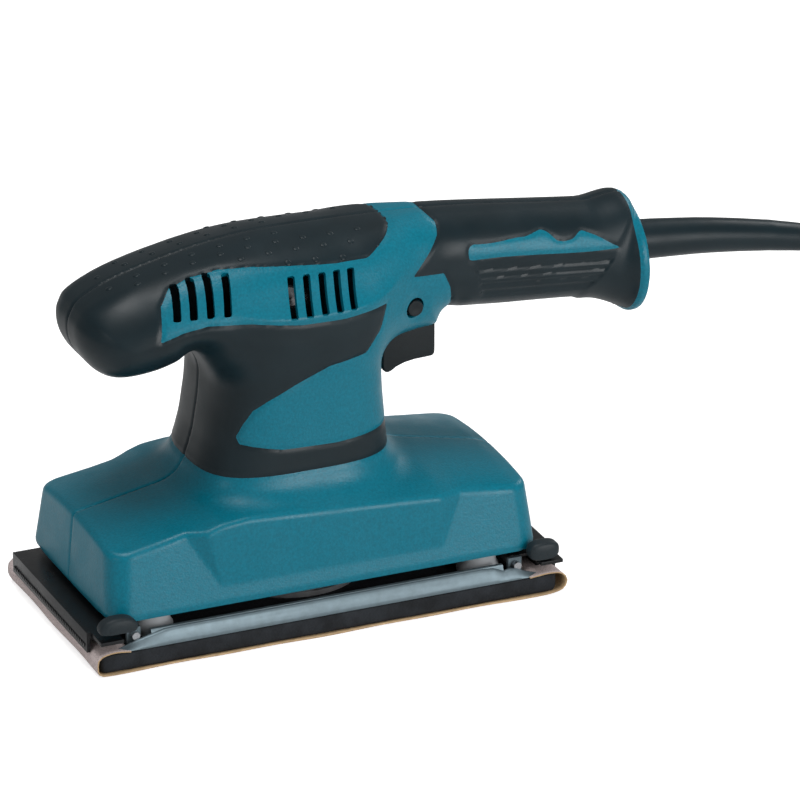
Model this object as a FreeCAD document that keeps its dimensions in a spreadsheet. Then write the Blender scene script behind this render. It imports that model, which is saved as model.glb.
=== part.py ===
import FreeCAD, Part
import math
import os
import re
import Sketcher
from FreeCAD import Placement, Rotation, Vector

# Third-sheet finishing sander with a rear handle, in millimetres.
# +X runs from the nose to the mains lead, +Z is up.
# The origin lies on the motor axis at the abrasive face of the paper.

SIZES = {
    # paper, pad and base plate
    "pad_length": 185.0, "pad_width": 93.0, "pad_thickness": 6.0, "paper_thickness": 0.6,
    "paper_flap": 13.0, "plate_length": 180.0, "plate_thickness": 1.6, "plate_margin": 1.0,
    "lip_rise": 6.0, "lip_slant": 2.6, "lip_length": 142.0,
    # clamps
    "pivot_inset": 13.0, "pivot_height": 4.6, "pin_radius": 1.5, "barrel_wall": 1.1,
    "ear_spacing": 80.0, "ear_thickness": 1.6, "ear_length": 5.4, "sheet": 1.4, "jaw_overhang": 4.4,
    "lever_width": 4.2, "lever_length": 14.0, "lever_height": 8.0, "lever_gap": 1.7,
    # drive
    "orbit_radius": 1.0, "running": 0.08, "clearance": 0.3,
    "box_floor": 3.3, "box_wall": 4.0, "box_flange": 2.0, "box_flange_radius": 28.0,
    "box_screw_circle": 24.0, "screw_radius": 2.0,
    "pad_bearing_bore": 10.0, "pad_bearing_outside": 26.0, "pad_bearing_width": 8.0,
    "main_bearing_bore": 12.0, "main_bearing_outside": 28.0, "main_bearing_width": 8.0,
    "top_bearing_bore": 7.0, "top_bearing_outside": 19.0, "top_bearing_width": 6.0, "boot_wall": 2.1,
    "shaft_collar": 0.9, "weight_gap": 0.1, "weight_thickness": 3.2, "weight_radius": 26.0, "fan_radius": 29.5,
    "fan_plate": 1.4, "fan_blade": 7.1, "fan_hub": 10.0, "blade_thickness": 1.2, "blade_count": 12,
    "partition_bottom": 42.0, "spacer_wall": 2.5,
    "retainer_thickness": 2.5, "retainer_radius": 17.0, "retainer_circle": 19.5, "retainer_ear": 3.6,
    "baffle_height": 34.0, "baffle_thickness": 1.2, "baffle_inner": 22.0, "baffle_outer": 37.0,
    "baffle_circle": 33.4, "plate_screw_radius": 1.5, "plate_screw_length": 9.0,
    # motor
    "stator_radius": 26.0, "stator_bore": 16.2, "stator_bottom": 61.0, "stack_height": 30.0,
    "air_gap": 0.5, "ledge": 2.0, "coil_overhang": 8.5, "coil_radial": 4.0, "coil_width": 5.0,
    "slot_count": 12, "slot_width": 2.0, "slot_depth": 5.5, "winding_overhang": 6.5,
    "winding_radius": 14.0, "armature_shaft_radius": 5.5,
    "commutator_radius": 10.0, "commutator_bottom": 99.5, "commutator_height": 10.5,
    "brush_width": 5.0, "brush_height": 8.0, "brush_length": 9.9, "brush_gap": 0.1,
    "brush_spring_length": 4.0, "holder_wall": 1.5, "brush_play": 0.2,
    # casing
    "skirt_length": 173.0, "skirt_width": 87.0, "skirt_bottom": 18.5, "skirt_corner": 9.0,
    "crest_length": 168.0, "crest_width": 76.0, "crest_height": 44.5,
    "foot_front": -41.0, "foot_rear": 37.0, "foot_half_width": 32.0, "foot_height": 61.5,
    "skirt_wall": 2.6, "casing_wall": 2.5, "grip_thickness": 2.0,
    "neck_half_width": 31.3, "body_half_width": 34.0, "handle_half_width": 17.6, "body_top": 147.5,
    "front_grip_back": -56.0, "front_grip_bottom": 138.5, "front_grip_end": 38.0,
    "neck_skin_top": 119.0, "neck_skin_rear": -12.0, "neck_band": 10.0,
    "rear_grip_start": 59.0, "rear_grip_end": 136.5,
    "flange_start": 138.0, "flange_thickness": 3.5, "flange_radius": 21.9, "flange_height": 113.7,
    "boss_radius": 5.5, "casing_screw_radius": 1.9, "casing_head_radius": 3.6, "casing_head": 2.6,
    "casing_head_start": 12.0, "casing_screw_reach": 9.0,
    # elastic feet
    "post_x": 66.0, "post_y": 30.5, "post_radius": 7.0, "post_top": 31.0, "post_neck_radius": 4.0,
    "post_neck_height": 5.0, "post_boss_radius": 5.8, "post_screw_depth": 10.0,
    # switch
    "trigger_front": 36.7, "trigger_length": 21.6, "trigger_half_width": 8.5, "trigger_bottom": 84.4,
    "block_bottom": 100.0, "trigger_flange": 2.0, "trigger_travel": 5.0,
    "switch_front": 41.0, "switch_length": 27.0, "switch_half_width": 8.0, "switch_bottom": 112.0,
    "switch_height": 16.0, "plunger_x": 56.0, "trigger_spring_x": 46.5, "spring_radius": 3.0,
    "button_x": 44.5, "button_z": 114.6, "button_radius": 3.3, "button_face": 21.2,
    "button_flange_radius": 3.7, "button_inner": 13.0, "button_travel": 3.0,
    # mains lead
    "lead_radius": 3.5, "lead_start": 110.0, "guard_collar_radius": 10.0, "guard_collar_start": 134.5,
    "guard_collar_length": 2.5, "guard_root_radius": 7.8, "guard_tip_radius": 5.2,
    "clip_start": 116.0, "clip_length": 8.0, "clip_half_width": 10.5, "clip_thickness": 4.5,
    "clip_screw_y": 7.5, "clip_screw_radius": 1.5, "wire_radius": 1.1,
    "coil_inner": 28.0, "coil_outer": 49.0, "coil_height": 21.0, "coil_x": 329.6, "coil_y": 3.5,
    "plug_length": 38.0, "plug_width": 35.3, "plug_thickness": 13.7, "plug_neck": 12.0,
    "plug_pin_radius": 2.0, "plug_pin_length": 19.0, "plug_pin_spacing": 18.6,
}

doc = FreeCAD.newDocument("finishing_sander")
sheet = doc.addObject("Spreadsheet::Sheet", "Sizes")
for row, (alias, number) in enumerate(SIZES.items(), start=1):
    sheet.set("A%d" % row, alias)
    sheet.set("B%d" % row, str(number))
    sheet.setAlias("B%d" % row, alias)
doc.recompute()

at = type("Dimensions", (), {alias: float(sheet.get(alias)) for alias in SIZES})
node_objects = []


def linked(expression):
    """Spell out the sheet for every driving dimension in an expression."""
    return re.sub(r"[a-z]\w*", lambda word: "Sizes." + word[0] if word[0] in SIZES else word[0],
                  str(expression))


def placed(thing, x=0, y=0, z=0):
    for axis, expression in zip("xyz", (x, y, z)):
        thing.setExpression("Placement.Base." + axis, linked(expression))
    return thing


def box(length, width, height, x=0, y=0, z=0, name="block"):
    """A block centred on x and y whose underside is at z."""
    block = doc.addObject("Part::Box", name)
    for side, expression in (("Length", length), ("Width", width), ("Height", height)):
        block.setExpression(side, linked(expression))
    return placed(block, "%s - (%s) / 2" % (x, length), "%s - (%s) / 2" % (y, width), z)


DIRECTIONS = {"Z": Rotation(), "Y": Rotation(Vector(1, 0, 0), -90), "X": Rotation(Vector(0, 1, 0), 90)}


def cylinder(radius, height, x=0, y=0, z=0, axis="Z", sector=360, start=0, name="round"):
    rod = doc.addObject("Part::Cylinder", name)
    rod.Placement = Placement(Vector(), Rotation(Vector(0, 0, 1), start) if start else DIRECTIONS[axis])
    rod.setExpression("Radius", linked(radius))
    rod.setExpression("Height", linked(height))
    rod.Angle = sector
    return placed(rod, x, y, z)


def cone(low_radius, high_radius, height, x=0, y=0, z=0, name="taper"):
    taper = doc.addObject("Part::Cone", name)
    taper.setExpression("Radius1", linked(low_radius))
    taper.setExpression("Radius2", linked(high_radius))
    taper.setExpression("Height", linked(height))
    return placed(taper, x, y, z)


def joined(*pieces, name="joined"):
    fusion = doc.addObject("Part::MultiFuse", name)
    fusion.Shapes = list(pieces)
    return fusion


def group(*pieces, name="set"):
    compound = doc.addObject("Part::Compound", name)
    compound.Links = list(pieces)
    return compound


def without(base, *tools, name="cut"):
    cut = doc.addObject("Part::Cut", name)
    cut.Base = base
    cut.Tool = tools[0] if len(tools) == 1 else joined(*tools)
    return cut


def shared(first, second, name="common"):
    common = doc.addObject("Part::Common", name)
    common.Base, common.Tool = first, second
    return common


def formed(shape, name="form"):
    feature = doc.addObject("Part::Feature", name)
    feature.Shape = shape
    feature.Placement = Placement()
    return feature


def rounded(base, radius_expression, edges, name="rounded"):
    doc.recompute()
    fillet = doc.addObject("Part::Fillet", name)
    fillet.Base = base
    fillet.Edges = [(number, radius_expression, radius_expression) for number in edges]
    return fillet


def node(label, thing):
    thing.Label = label
    node_objects.append(thing)
    return thing


def profile_body(label, plane_role, points, length, offset="0"):
    """A body from a closed outline of sheet expressions, padded both ways from its plane."""
    body = doc.addObject("PartDesign::Body", label)
    plane = [p for p in body.Origin.OriginFeatures if p.Role == plane_role][0]
    sketch = body.newObject("Sketcher::SketchObject", label + "_outline")
    sketch.AttachmentSupport = [(plane, "")]
    sketch.MapMode = "FlatFace"
    doc.recompute()
    values = [Vector(sheet_value(u), sheet_value(v), 0) for u, v in points]
    for index, start in enumerate(values):
        sketch.addGeometry(Part.LineSegment(start, values[(index + 1) % len(values)]), False)
    for index, (u, v) in enumerate(points):
        sketch.addConstraint(Sketcher.Constraint("Coincident", index, 2, (index + 1) % len(points), 1))
        for kind, expression, number in (("DistanceX", u, values[index].x),
                                         ("DistanceY", v, values[index].y)):
            if abs(number) < 1e-9:
                axis = -2 if kind == "DistanceX" else -1
                sketch.addConstraint(Sketcher.Constraint("PointOnObject", index, 1, axis))
            else:
                place = sketch.addConstraint(Sketcher.Constraint(kind, -1, 1, index, 1, number))
                sketch.setExpression("Constraints[%d]" % place, linked(expression))
    pad = body.newObject("PartDesign::Pad", label + "_pad")
    pad.Profile = sketch
    pad.Midplane = True
    pad.setExpression("Length", linked(length))
    doc.recompute()
    if offset != "0":
        axis = {"XZ_Plane": "y", "XY_Plane": "z", "YZ_Plane": "x"}[plane_role]
        body.setExpression("Placement.Base." + axis, linked(offset))
    return body


def sheet_value(expression):
    """The present value of an expression, read back through a spare cell of the sheet."""
    sheet.set("D1", "=" + re.sub(r"Sizes\.", "", str(expression)))
    sheet.recompute()
    return float(sheet.get("D1"))


def tube(outer, inner, height, x=0, y=0, z=0, axis="Z", name="tube"):
    return without(cylinder(outer, height, x, y, z, axis), cylinder(inner, height, x, y, z, axis), name=name)


# ---------------------------------------------------------------- casing forms

def rounded_loop(centre, across, up, corner):
    """A rectangle with round corners about centre; across and up are its half axes as vectors."""
    along, aside = Vector(across).normalize(), Vector(up).normalize()
    a, b = across.Length - corner, up.Length - corner
    arcs = []
    for turn, (sx, sy) in enumerate(((1, 1), (-1, 1), (-1, -1), (1, -1))):
        middle = centre + along * (sx * a) + aside * (sy * b)
        arcs.append([middle + along * (corner * math.cos(t)) + aside * (corner * math.sin(t))
                     for t in (math.pi / 2 * (turn + share) for share in (0, 0.5, 1))])
    edges = []
    for index, arc in enumerate(arcs):
        edges.append(Part.Arc(*arc).toShape())
        edges.append(Part.LineSegment(arc[2], arcs[(index + 1) % 4][0]).toShape())
    return Part.Wire(edges)


def body_sections():
    """Stations along the top body and rear handle: x, half width, underside z and top z."""
    wide, slim, top = at.body_half_width, at.handle_half_width, at.body_top
    return [(-85.3, wide - 18, top - 35, top - 20), (-77, wide - 6, top - 43, top - 13.4),
            (-60, wide - 3, top - 44, top - 7.6), (-14, wide, top - 42, top),
            (30, wide - 4, top - 44, top), (46, slim + 4.4, at.block_bottom, top - 1.6),
            (62, slim + 0.8, at.block_bottom + 2, top - 2.6),
            (at.flange_start + 2, slim - 1, top - 47.5, top - 11.8)]


def body_form(inset, name):
    loops = []
    nose = body_sections()[0][0]
    for x, half_width, low, high in body_sections():
        middle, half_height = (low + high) / 2, (high - low) / 2
        corner = 0.72 * min(half_width, half_height)
        loops.append(rounded_loop(Vector(x + (inset if x == nose else 0), 0, middle),
                                  Vector(0, half_width - inset, 0), Vector(0, 0, half_height - inset),
                                  corner - 0.6 * inset))
    return formed(Part.makeLoft(loops, True, True), name)


def neck_form(inset, name):
    front, rear, half = at.foot_front, at.foot_rear, at.neck_half_width
    stations = [(at.foot_height - 8, front, rear, half + 0.6), (at.foot_height + 8, front + 4, rear - 2, half),
                (100, front + 7.5, rear - 3, half), (118, front - 1, rear - 1, half + 1)]
    loops = [rounded_loop(Vector((a + b) / 2, 0, z), Vector((b - a) / 2 - inset, 0, 0),
                          Vector(0, width - inset, 0), 22 - 0.6 * inset) for z, a, b, width in stations]
    return formed(Part.makeLoft(loops, True, True), name)


def skirt_form(inset, name):
    foot_length = at.foot_rear - at.foot_front
    foot_middle = (at.foot_rear + at.foot_front) / 2
    bottom = at.skirt_bottom - (inset > 0) * 2.0
    stations = [(at.skirt_length, at.skirt_width, bottom, 0), (at.crest_length, at.crest_width,
                at.crest_height - inset / 2, 0), (foot_length, 2 * at.foot_half_width,
                at.foot_height - inset, foot_middle)]
    loops = [rounded_loop(Vector(x, 0, z), Vector(length / 2 - inset, 0, 0), Vector(0, width / 2 - inset, 0),
                          at.skirt_corner * (2 if x else 1) - inset / 2) for length, width, z, x in stations]
    return formed(Part.makeLoft(loops, True, True), name)


SCREW_PLACES = ((-66, 118), (34, 134), (104, 109), (131.5, 107.5), (-50, 36), (50, 36))


def lead_axis(x):
    """Height of the mains lead inside the handle and the guard, and its slope there."""
    stations = ((at.lead_start, 121.4), (172.7, 115.6), (201.3, 111.0), (220.0, 107.0))
    for (x0, z0), (x1, z1) in zip(stations, stations[1:]):
        if x <= x1 or x1 == 220.0:
            return z0 + (z1 - z0) * (x - x0) / (x1 - x0)


GUARD_STATIONS = (137.0, 172.7, 201.3, 220.0)


def along_lead(stations, radii):
    """A ruled round body whose axis follows the lead."""
    loops = []
    for index, (x, radius) in enumerate(zip(stations, radii)):
        before, after = stations[max(index - 1, 0)], stations[min(index + 1, len(stations) - 1)]
        heading = Vector(after - before, 0, lead_axis(after) - lead_axis(before)).normalize()
        loops.append(Part.Wire(Part.makeCircle(radius, Vector(x, 0, lead_axis(x)), heading)))
    return Part.makeLoft(loops, True, True)


def guard_blank():
    span = GUARD_STATIONS[-1] - GUARD_STATIONS[0]
    radii = [at.guard_root_radius + (at.guard_tip_radius - at.guard_root_radius)
             * (x - GUARD_STATIONS[0]) / span for x in GUARD_STATIONS]
    heading = Vector(1, 0, lead_axis(at.guard_collar_start + 1) - lead_axis(at.guard_collar_start))
    collar = Part.makeCylinder(at.guard_collar_radius, at.guard_collar_length + 0.4,
                               Vector(at.guard_collar_start, 0, lead_axis(at.guard_collar_start)), heading)
    return collar.fuse(along_lead(GUARD_STATIONS, radii))


def make_lead_and_guard():
    lead = along_lead((at.lead_start,) + GUARD_STATIONS, [at.lead_radius] * 5)
    inner_lead = node("inner_lead", formed(lead, "inner_lead"))
    blank = formed(guard_blank(), "guard_blank")
    node("cord_guard", without(blank, inner_lead, name="cord_guard"))
    return inner_lead, blank


def make_clip(inner_lead):
    """The clip presses the lead into a saddle in the handle, with a screw on each side."""
    middle = "clip_start + clip_length / 2"
    seat = lead_axis(at.clip_start + at.clip_length / 2)
    bar = box("clip_length", "2 * clip_half_width", "clip_thickness", middle, 0, seat)
    holes = [cylinder("clip_screw_radius", 30, middle, sign + "clip_screw_y", seat - 9)
             for sign in ("-", "")]
    node("cord_clip", without(bar, inner_lead, *holes, name="cord_clip"))
    screws = []
    for sign in ("-", ""):
        place = (middle, sign + "clip_screw_y")
        shank = cylinder("clip_screw_radius", "clip_thickness + 9", *place, seat - 9)
        head = cylinder("2 * clip_screw_radius", "1.4 * clip_screw_radius", *place,
                        "%f + clip_thickness" % seat)
        screws.append(joined(shank, head))
    node("cord_clip_screws", group(*screws, name="cord_clip_screws"))
    return seat


def make_casing(inner_lead, guard, seat):
    outer = joined(body_form(0, "body_outer"), neck_form(0, "neck_outer"), skirt_form(0, "skirt_outer"),
                   cylinder("flange_radius", "flange_thickness", "flange_start", 0, "flange_height", "X"),
                   name="casing_outer")
    grip = at.grip_thickness
    core = joined(body_form(grip, "body_core"), neck_form(grip, "neck_core"), name="casing_core")
    depth = grip + at.casing_wall
    shell = without(outer, core, name="grip_shell")

    # the hollow, with everything that stays solid inside it taken away from it
    hollow = joined(body_form(depth, "body_hollow"), neck_form(depth, "neck_hollow"),
                    skirt_form(at.skirt_wall, "skirt_hollow"), name="hollow_full")
    solid_parts = [
        box("foot_rear - foot_front + 6", 100, "main_bearing_width", "(foot_rear + foot_front) / 2", 0,
            "partition_bottom"),
        box(90, 90, "stator_bottom / 12 + ledge", 0, 0, "stator_bottom - ledge - 2"),
        box(90, 90, 7, 0, 0, "stator_bottom + stack_height - 7"),
        box("2 * (top_bearing_outside / 2 + boot_wall + 5)", 90, 10.5, 0, 0, "commutator_bottom + 10.5"),
        box("200", 90, 60, "guard_collar_start + 100", 0, 90),
        box(3.0, 60, 30, 66, 0, "switch_bottom - 30"), box(3.0, 60, 30, 82, 0, 83),
        box(3.0, 60, 30, 94, 0, 83),
        box("clip_length + 4", 60, 40, "clip_start + clip_length / 2", 0, seat - 40),
        box("trigger_length + 8", 60, 3.5, "trigger_front + trigger_length / 2", 0, "block_bottom"),
    ]
    for x, z in SCREW_PLACES:
        solid_parts.append(cylinder("boss_radius", 100, x, -50, z, "Y"))
    for x in ("-post_x", "post_x"):
        for y in ("-post_y", "post_y"):
            solid_parts.append(cylinder("post_boss_radius", 30, x, y, "post_top"))
    for x, y in thirds("baffle_circle", 60):
        solid_parts.append(cylinder(4, 12, x, y, "baffle_height + baffle_thickness"))
    voids = [without(hollow, *solid_parts, name="hollow_open"),
             cylinder("main_bearing_outside / 2", 9, 0, 0, "partition_bottom - 0.5"),
             cylinder("stator_radius", "stack_height + coil_overhang + 1", 0, 0, "stator_bottom"),
             cylinder("stator_radius - ledge", 20, 0, 0, "stator_bottom - 11"),
             cylinder("top_bearing_bore / 2 + 4.5", 4, 0, 0, "commutator_bottom + 10"),
             cylinder("top_bearing_outside / 2 + boot_wall", 20, 0, 0, "commutator_bottom + 13"),
             box("trigger_length + 2 * clearance", "2 * (trigger_half_width + clearance)", 20,
                 "trigger_front + trigger_length / 2", 0, "block_bottom - 12"),
             box("trigger_length + 4 * clearance", "2 * (trigger_half_width + 2 + clearance)",
                 "trigger_flange + trigger_travel + 3 * clearance", "trigger_front + trigger_length / 2", 0,
                 "block_bottom + 3.5"),
             cylinder("button_radius + 0.1", 14, "button_x", -28, "button_z", "Y"),
             guard, inner_lead]
    for side in (-1, 1):
        voids.append(box(5, 10, 32, side * 28, 0, "stator_bottom - ledge - 3"))
        voids.append(cylinder("clip_screw_radius", 30, "clip_start + clip_length / 2",
                              "%d * clip_screw_y" % side, seat - 9))
    for step in range(6):
        turn = math.radians((40, 80, 160, 200, 280, 320)[step])
        voids.append(cylinder(3.4, 12, 21 * math.cos(turn), 21 * math.sin(turn), "partition_bottom - 2"))
    for x, y in thirds("retainer_circle"):
        voids.append(cylinder("plate_screw_radius", "plate_screw_length", x, y,
                              "partition_bottom - retainer_thickness"))
    for x, y in thirds("baffle_circle", 60):
        voids.append(cylinder("plate_screw_radius", "plate_screw_length", x, y, "baffle_height"))
    for x in ("-post_x", "post_x"):
        for y in ("-post_y", "post_y"):
            voids.append(cylinder("post_neck_radius", "post_neck_height", x, y, "post_top"))
    voids += vent_slots()
    voids += [screw_hole(x, z) for x, z in SCREW_PLACES]

    grips = [box(100, 100, 100, "front_grip_back - 50", 0, 60),
             box("front_grip_end - front_grip_back", 100, 40,
                 "(front_grip_end + front_grip_back) / 2", 0, "front_grip_bottom"),
             box(60, 100, "neck_skin_top - foot_height", "neck_skin_rear - 30", 0, "foot_height"),
             box(100, 100, "neck_band", "neck_skin_rear + 50", 0, "foot_height")]
    rear_zone = box("rear_grip_end - rear_grip_start", 60, 60,
                    "(rear_grip_end + rear_grip_start) / 2", 0, 92)
    front_zone = joined(*grips, name="front_zone")
    recesses = joined(*[screw_hole(x, z) for x, z in SCREW_PLACES], name="screw_recesses")
    skins = {}
    for name, zone in (("front_grip", front_zone), ("rear_grip", rear_zone)):
        skins[name] = without(shared(shell, zone), recesses, name=name + "_whole")
    plastic = without(outer, *voids, *skins.values(), name="casing_whole")
    halves = {"left": box(400, 100, 200, 30, -50, 0), "right": box(400, 100, 200, 30, 50, 0)}
    for side, half in halves.items():
        node("housing_" + side, shared(plastic, half, name="housing_" + side))
        for name, skin in skins.items():
            label = name + "_" + side
            node(label, shared(skin, half, name=label))


def vent_slots():
    """Nine slanted air slots on each side of the body, above the motor."""
    slots = []
    for first, count, low, high in ((-50.5, 4, 126.0, 137.5), (-10.0, 5, 123.0, 137.0)):
        for step in range(count):
            slots.append(box(2.8, 100, high - low, first + 6.1 * step, 0, low))
    return slots


def screw_hole(x, z):
    """Room for one casing screw: its shank, and its head sunk from the right side."""
    reach = cylinder("casing_screw_radius", "casing_head_start + casing_screw_reach", x,
                     "-casing_screw_reach", z, "Y")
    return joined(reach, cylinder("casing_head_radius + 0.5", 60, x, "casing_head_start", z, "Y"))


def make_casing_screws():
    screws = []
    for x, z in SCREW_PLACES:
        shank = cylinder("casing_screw_radius", "casing_head_start + casing_screw_reach", x,
                         "-casing_screw_reach", z, "Y")
        head = cylinder("casing_head_radius", "casing_head", x, "casing_head_start", z, "Y")
        drive = cylinder("casing_screw_radius * 0.7", "casing_head", x, "casing_head_start + 1", z, "Y")
        screws.append(without(joined(shank, head), drive))
    node("housing_screws", group(*screws, name="housing_screws"))


# ---------------------------------------------------------------- base

def make_paper():
    low, thick = "0", "paper_thickness"
    top = "paper_thickness + pad_thickness + plate_thickness"
    outline = []
    for sign in ("-", ""):
        end, skin = sign + "pad_length / 2", sign + "(pad_length / 2 + paper_thickness)"
        flap = sign + "(pad_length / 2 - paper_flap)"
        side = [(skin, low), (skin, top + " + paper_thickness"), (flap, top + " + paper_thickness"),
                (flap, top), (end, top), (end, thick)]
        outline += side if sign == "-" else side[::-1]
    node("sandpaper", profile_body("sandpaper", "XZ_Plane", outline, "pad_width"))


def make_pad():
    outline = [("-pad_length / 2", "-pad_width / 2"), ("pad_length / 2", "-pad_width / 2"),
               ("pad_length / 2", "pad_width / 2"), ("-pad_length / 2", "pad_width / 2")]
    node("pad_cushion", profile_body("pad_cushion", "XY_Plane", outline, "pad_thickness",
                                     "paper_thickness + pad_thickness / 2"))


def make_plate():
    under = "(paper_thickness + pad_thickness)"
    over = "(paper_thickness + pad_thickness + plate_thickness)"
    pieces = [box("plate_length", "pad_width - 2 * plate_margin", "plate_thickness", 0, 0, under)]
    for sign in ("-", ""):
        edge = sign + "(pad_width / 2 - plate_margin)"
        lip = [(edge, under), (edge, over), (sign + "(pad_width / 2 - plate_margin - lip_slant)",
                                             over + " + lip_rise"),
               (sign + "(pad_width / 2 - plate_margin - lip_slant - plate_thickness)", over + " + lip_rise"),
               (sign + "(pad_width / 2 - plate_margin - plate_thickness)", under)]
        pieces.append(profile_body("lip" + ("_left" if sign else "_right"), "YZ_Plane", lip, "lip_length"))
    holes = [cylinder("screw_radius", 10, "orbit_radius + box_screw_circle * %f" % math.cos(turn),
                      "box_screw_circle * %f" % math.sin(turn), under + " - 1") for turn in quarter_turns()]
    for x, y in post_places():
        holes.append(cone("2 * screw_radius", "screw_radius", "plate_thickness", x, y, under))
    for sign in ("-", ""):
        for y in ("-ear_spacing / 2", "ear_spacing / 2"):
            pivot = sign + "(plate_length / 2 - pivot_inset)"
            pieces.append(box("ear_length", "ear_thickness", "pivot_height + 2.4 + plate_thickness",
                              pivot, y, under))
        holes.append(cylinder("pin_radius", 120, pivot, -60, over + " + pivot_height", "Y"))
    node("base_plate", without(joined(*pieces), *holes, name="base_plate"))
    return over


def quarter_turns():
    return [math.radians(45 + 90 * step) for step in range(4)]


def post_places():
    return [(x, y) for x in ("-post_x", "post_x") for y in ("-post_y", "post_y")]


def make_clamps(over):
    """At each end a sprung jaw on a pin presses the paper's flap onto the plate."""
    pins = []
    for label, sign in (("front", "-"), ("rear", "")):
        pivot = "(%s(plate_length / 2 - pivot_inset))" % sign
        height = over + " + pivot_height"
        out = "%s(pad_length / 2 + paper_thickness + %s)"
        jaw_out, jaw_in = out % (sign, "1.6"), out % (sign, "1.6 - sheet")
        jaw_back = "%s(pad_length / 2 - jaw_overhang)" % sign
        top = height + " + barrel_wall + pin_radius"
        foot = over + " + paper_thickness + 0.1"
        outline = [(pivot, top), (jaw_out, top), (jaw_out, foot + " - 1.4"), (jaw_in, foot + " - 1.4"),
                   (jaw_in, top + " - 2 * sheet"), (jaw_back, foot + " + sheet"), (jaw_back, foot),
                   ("%s(pad_length / 2 - jaw_overhang - sheet)" % sign, foot),
                   ("%s(pad_length / 2 - jaw_overhang - sheet)" % sign, top + " - sheet"),
                   (pivot, top + " - sheet")]
        width = "ear_spacing - ear_thickness - 2 * clearance"
        bar = profile_body(label + "_jaw_sheet", "XZ_Plane", outline, width)
        barrel = cylinder("pin_radius + barrel_wall", width, pivot, "-(%s) / 2" % width, height, "Y")
        lever = "%s(pad_length / 2 - lever_length / 2 + 0.6)" % sign
        reach = "(skirt_width / 2 + lever_gap + lever_width)"
        arm = box("lever_length - 5", reach + " - ear_spacing / 2 + 4", "sheet",
                  "%s(pad_length / 2 - 4)" % sign, "-(%s + ear_spacing / 2 - 4) / 2" % reach, top + " - sheet")
        bore = cylinder("pin_radius + running", 120, pivot, -60, height, "Y")
        node(label + "_clamp", without(joined(bar, barrel, arm), bore, name=label + "_clamp"))
        cap = box("lever_length", "lever_width", "lever_height", lever,
                  "-(skirt_width / 2 + lever_gap + lever_width / 2)", top)
        node(label + "_lever_cap", rounded(cap, 1.6, (2, 4, 6, 8, 10, 12), name=label + "_lever_cap"))
        pin_length = "ear_spacing + 2 * ear_thickness + 4"
        pins.append(cylinder("pin_radius", pin_length, pivot, "-(%s) / 2" % pin_length, height, "Y"))
        node(label + "_clamp_spring", tube("pin_radius + 1.2", "pin_radius", 2.4, pivot,
                                           "(ear_spacing + ear_thickness) / 2", height, "Y",
                                           name=label + "_clamp_spring"))
    node("clamp_pins", group(*pins, name="clamp_pins"))


def make_bearing(label, bore, outside, width, x, z):
    """A shielded ball bearing: the two rings meet at a running gap."""
    middle = "((%s + %s) / 4)" % (bore, outside)
    node(label + "_inner", tube(middle + " - running / 2", bore + " / 2", width, x, 0, z,
                                name=label + "_inner"))
    node(label + "_outer", tube(outside + " / 2", middle + " + running / 2", width, x, 0, z,
                                name=label + "_outer"))


def make_bearing_box(over):
    wall_top = over + " + box_floor + pad_bearing_width + 0.5"
    body = joined(cylinder("box_flange_radius", "box_flange", "orbit_radius", 0, over),
                  cylinder("pad_bearing_outside / 2 + box_wall", "box_floor + pad_bearing_width + 0.5",
                           "orbit_radius", 0, over))
    tools = [cylinder("pad_bearing_outside / 2", 30, "orbit_radius", 0, over + " + box_floor")]
    screws = []
    for turn in quarter_turns():
        x = "orbit_radius + box_screw_circle * %f" % math.cos(turn)
        y = "box_screw_circle * %f" % math.sin(turn)
        tools.append(cylinder("screw_radius", 10, x, y, over + " - 1"))
        screws.append(joined(cylinder("screw_radius", "plate_thickness + box_flange", x, y,
                                      over + " - plate_thickness"),
                             cylinder("1.75 * screw_radius", "1.3 * screw_radius", x, y,
                                      over + " + box_flange")))
    node("bearing_box", without(body, *tools, name="bearing_box"))
    node("bearing_box_screws", group(*screws, name="bearing_box_screws"))
    make_bearing("pad_bearing", "pad_bearing_bore", "pad_bearing_outside", "pad_bearing_width",
                 "orbit_radius", over + " + box_floor")
    return wall_top


def make_posts(over):
    posts, screws = [], []
    for x, y in post_places():
        post = joined(cylinder("post_radius", "post_top - (%s)" % over, x, y, over),
                      cylinder("post_neck_radius", "post_neck_height", x, y, "post_top"))
        posts.append(without(post, cylinder("screw_radius", "post_screw_depth", x, y, over)))
        screws.append(joined(cone("2 * screw_radius", "screw_radius", "plate_thickness", x, y,
                                  over + " - plate_thickness"),
                             cylinder("screw_radius", "post_screw_depth", x, y, over)))
    node("elastic_feet", group(*posts, name="elastic_feet"))
    node("foot_screws", group(*screws, name="foot_screws"))


# ---------------------------------------------------------------- motor and drive

def make_shaft(over):
    shoulder = over + " + box_floor + pad_bearing_width"
    pin_top = shoulder + " + shaft_collar"
    top = "commutator_bottom + commutator_height + 1.4"
    shaft = joined(cylinder("pad_bearing_bore / 2", "pad_bearing_width + shaft_collar / 2",
                            "orbit_radius", 0, over + " + box_floor"),
                   cylinder("main_bearing_bore / 2 + 1", "shaft_collar", 0, 0, shoulder),
                   cylinder("main_bearing_bore / 2", "partition_bottom + main_bearing_width + 1 - (%s)"
                            % pin_top, 0, 0, pin_top),
                   cylinder("armature_shaft_radius", "%s - partition_bottom - main_bearing_width - 1" % top,
                            0, 0, "partition_bottom + main_bearing_width + 1"),
                   cylinder("top_bearing_bore / 2", "top_bearing_width + 1.6", 0, 0, top))
    node("armature_shaft", shaft)
    return pin_top


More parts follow.
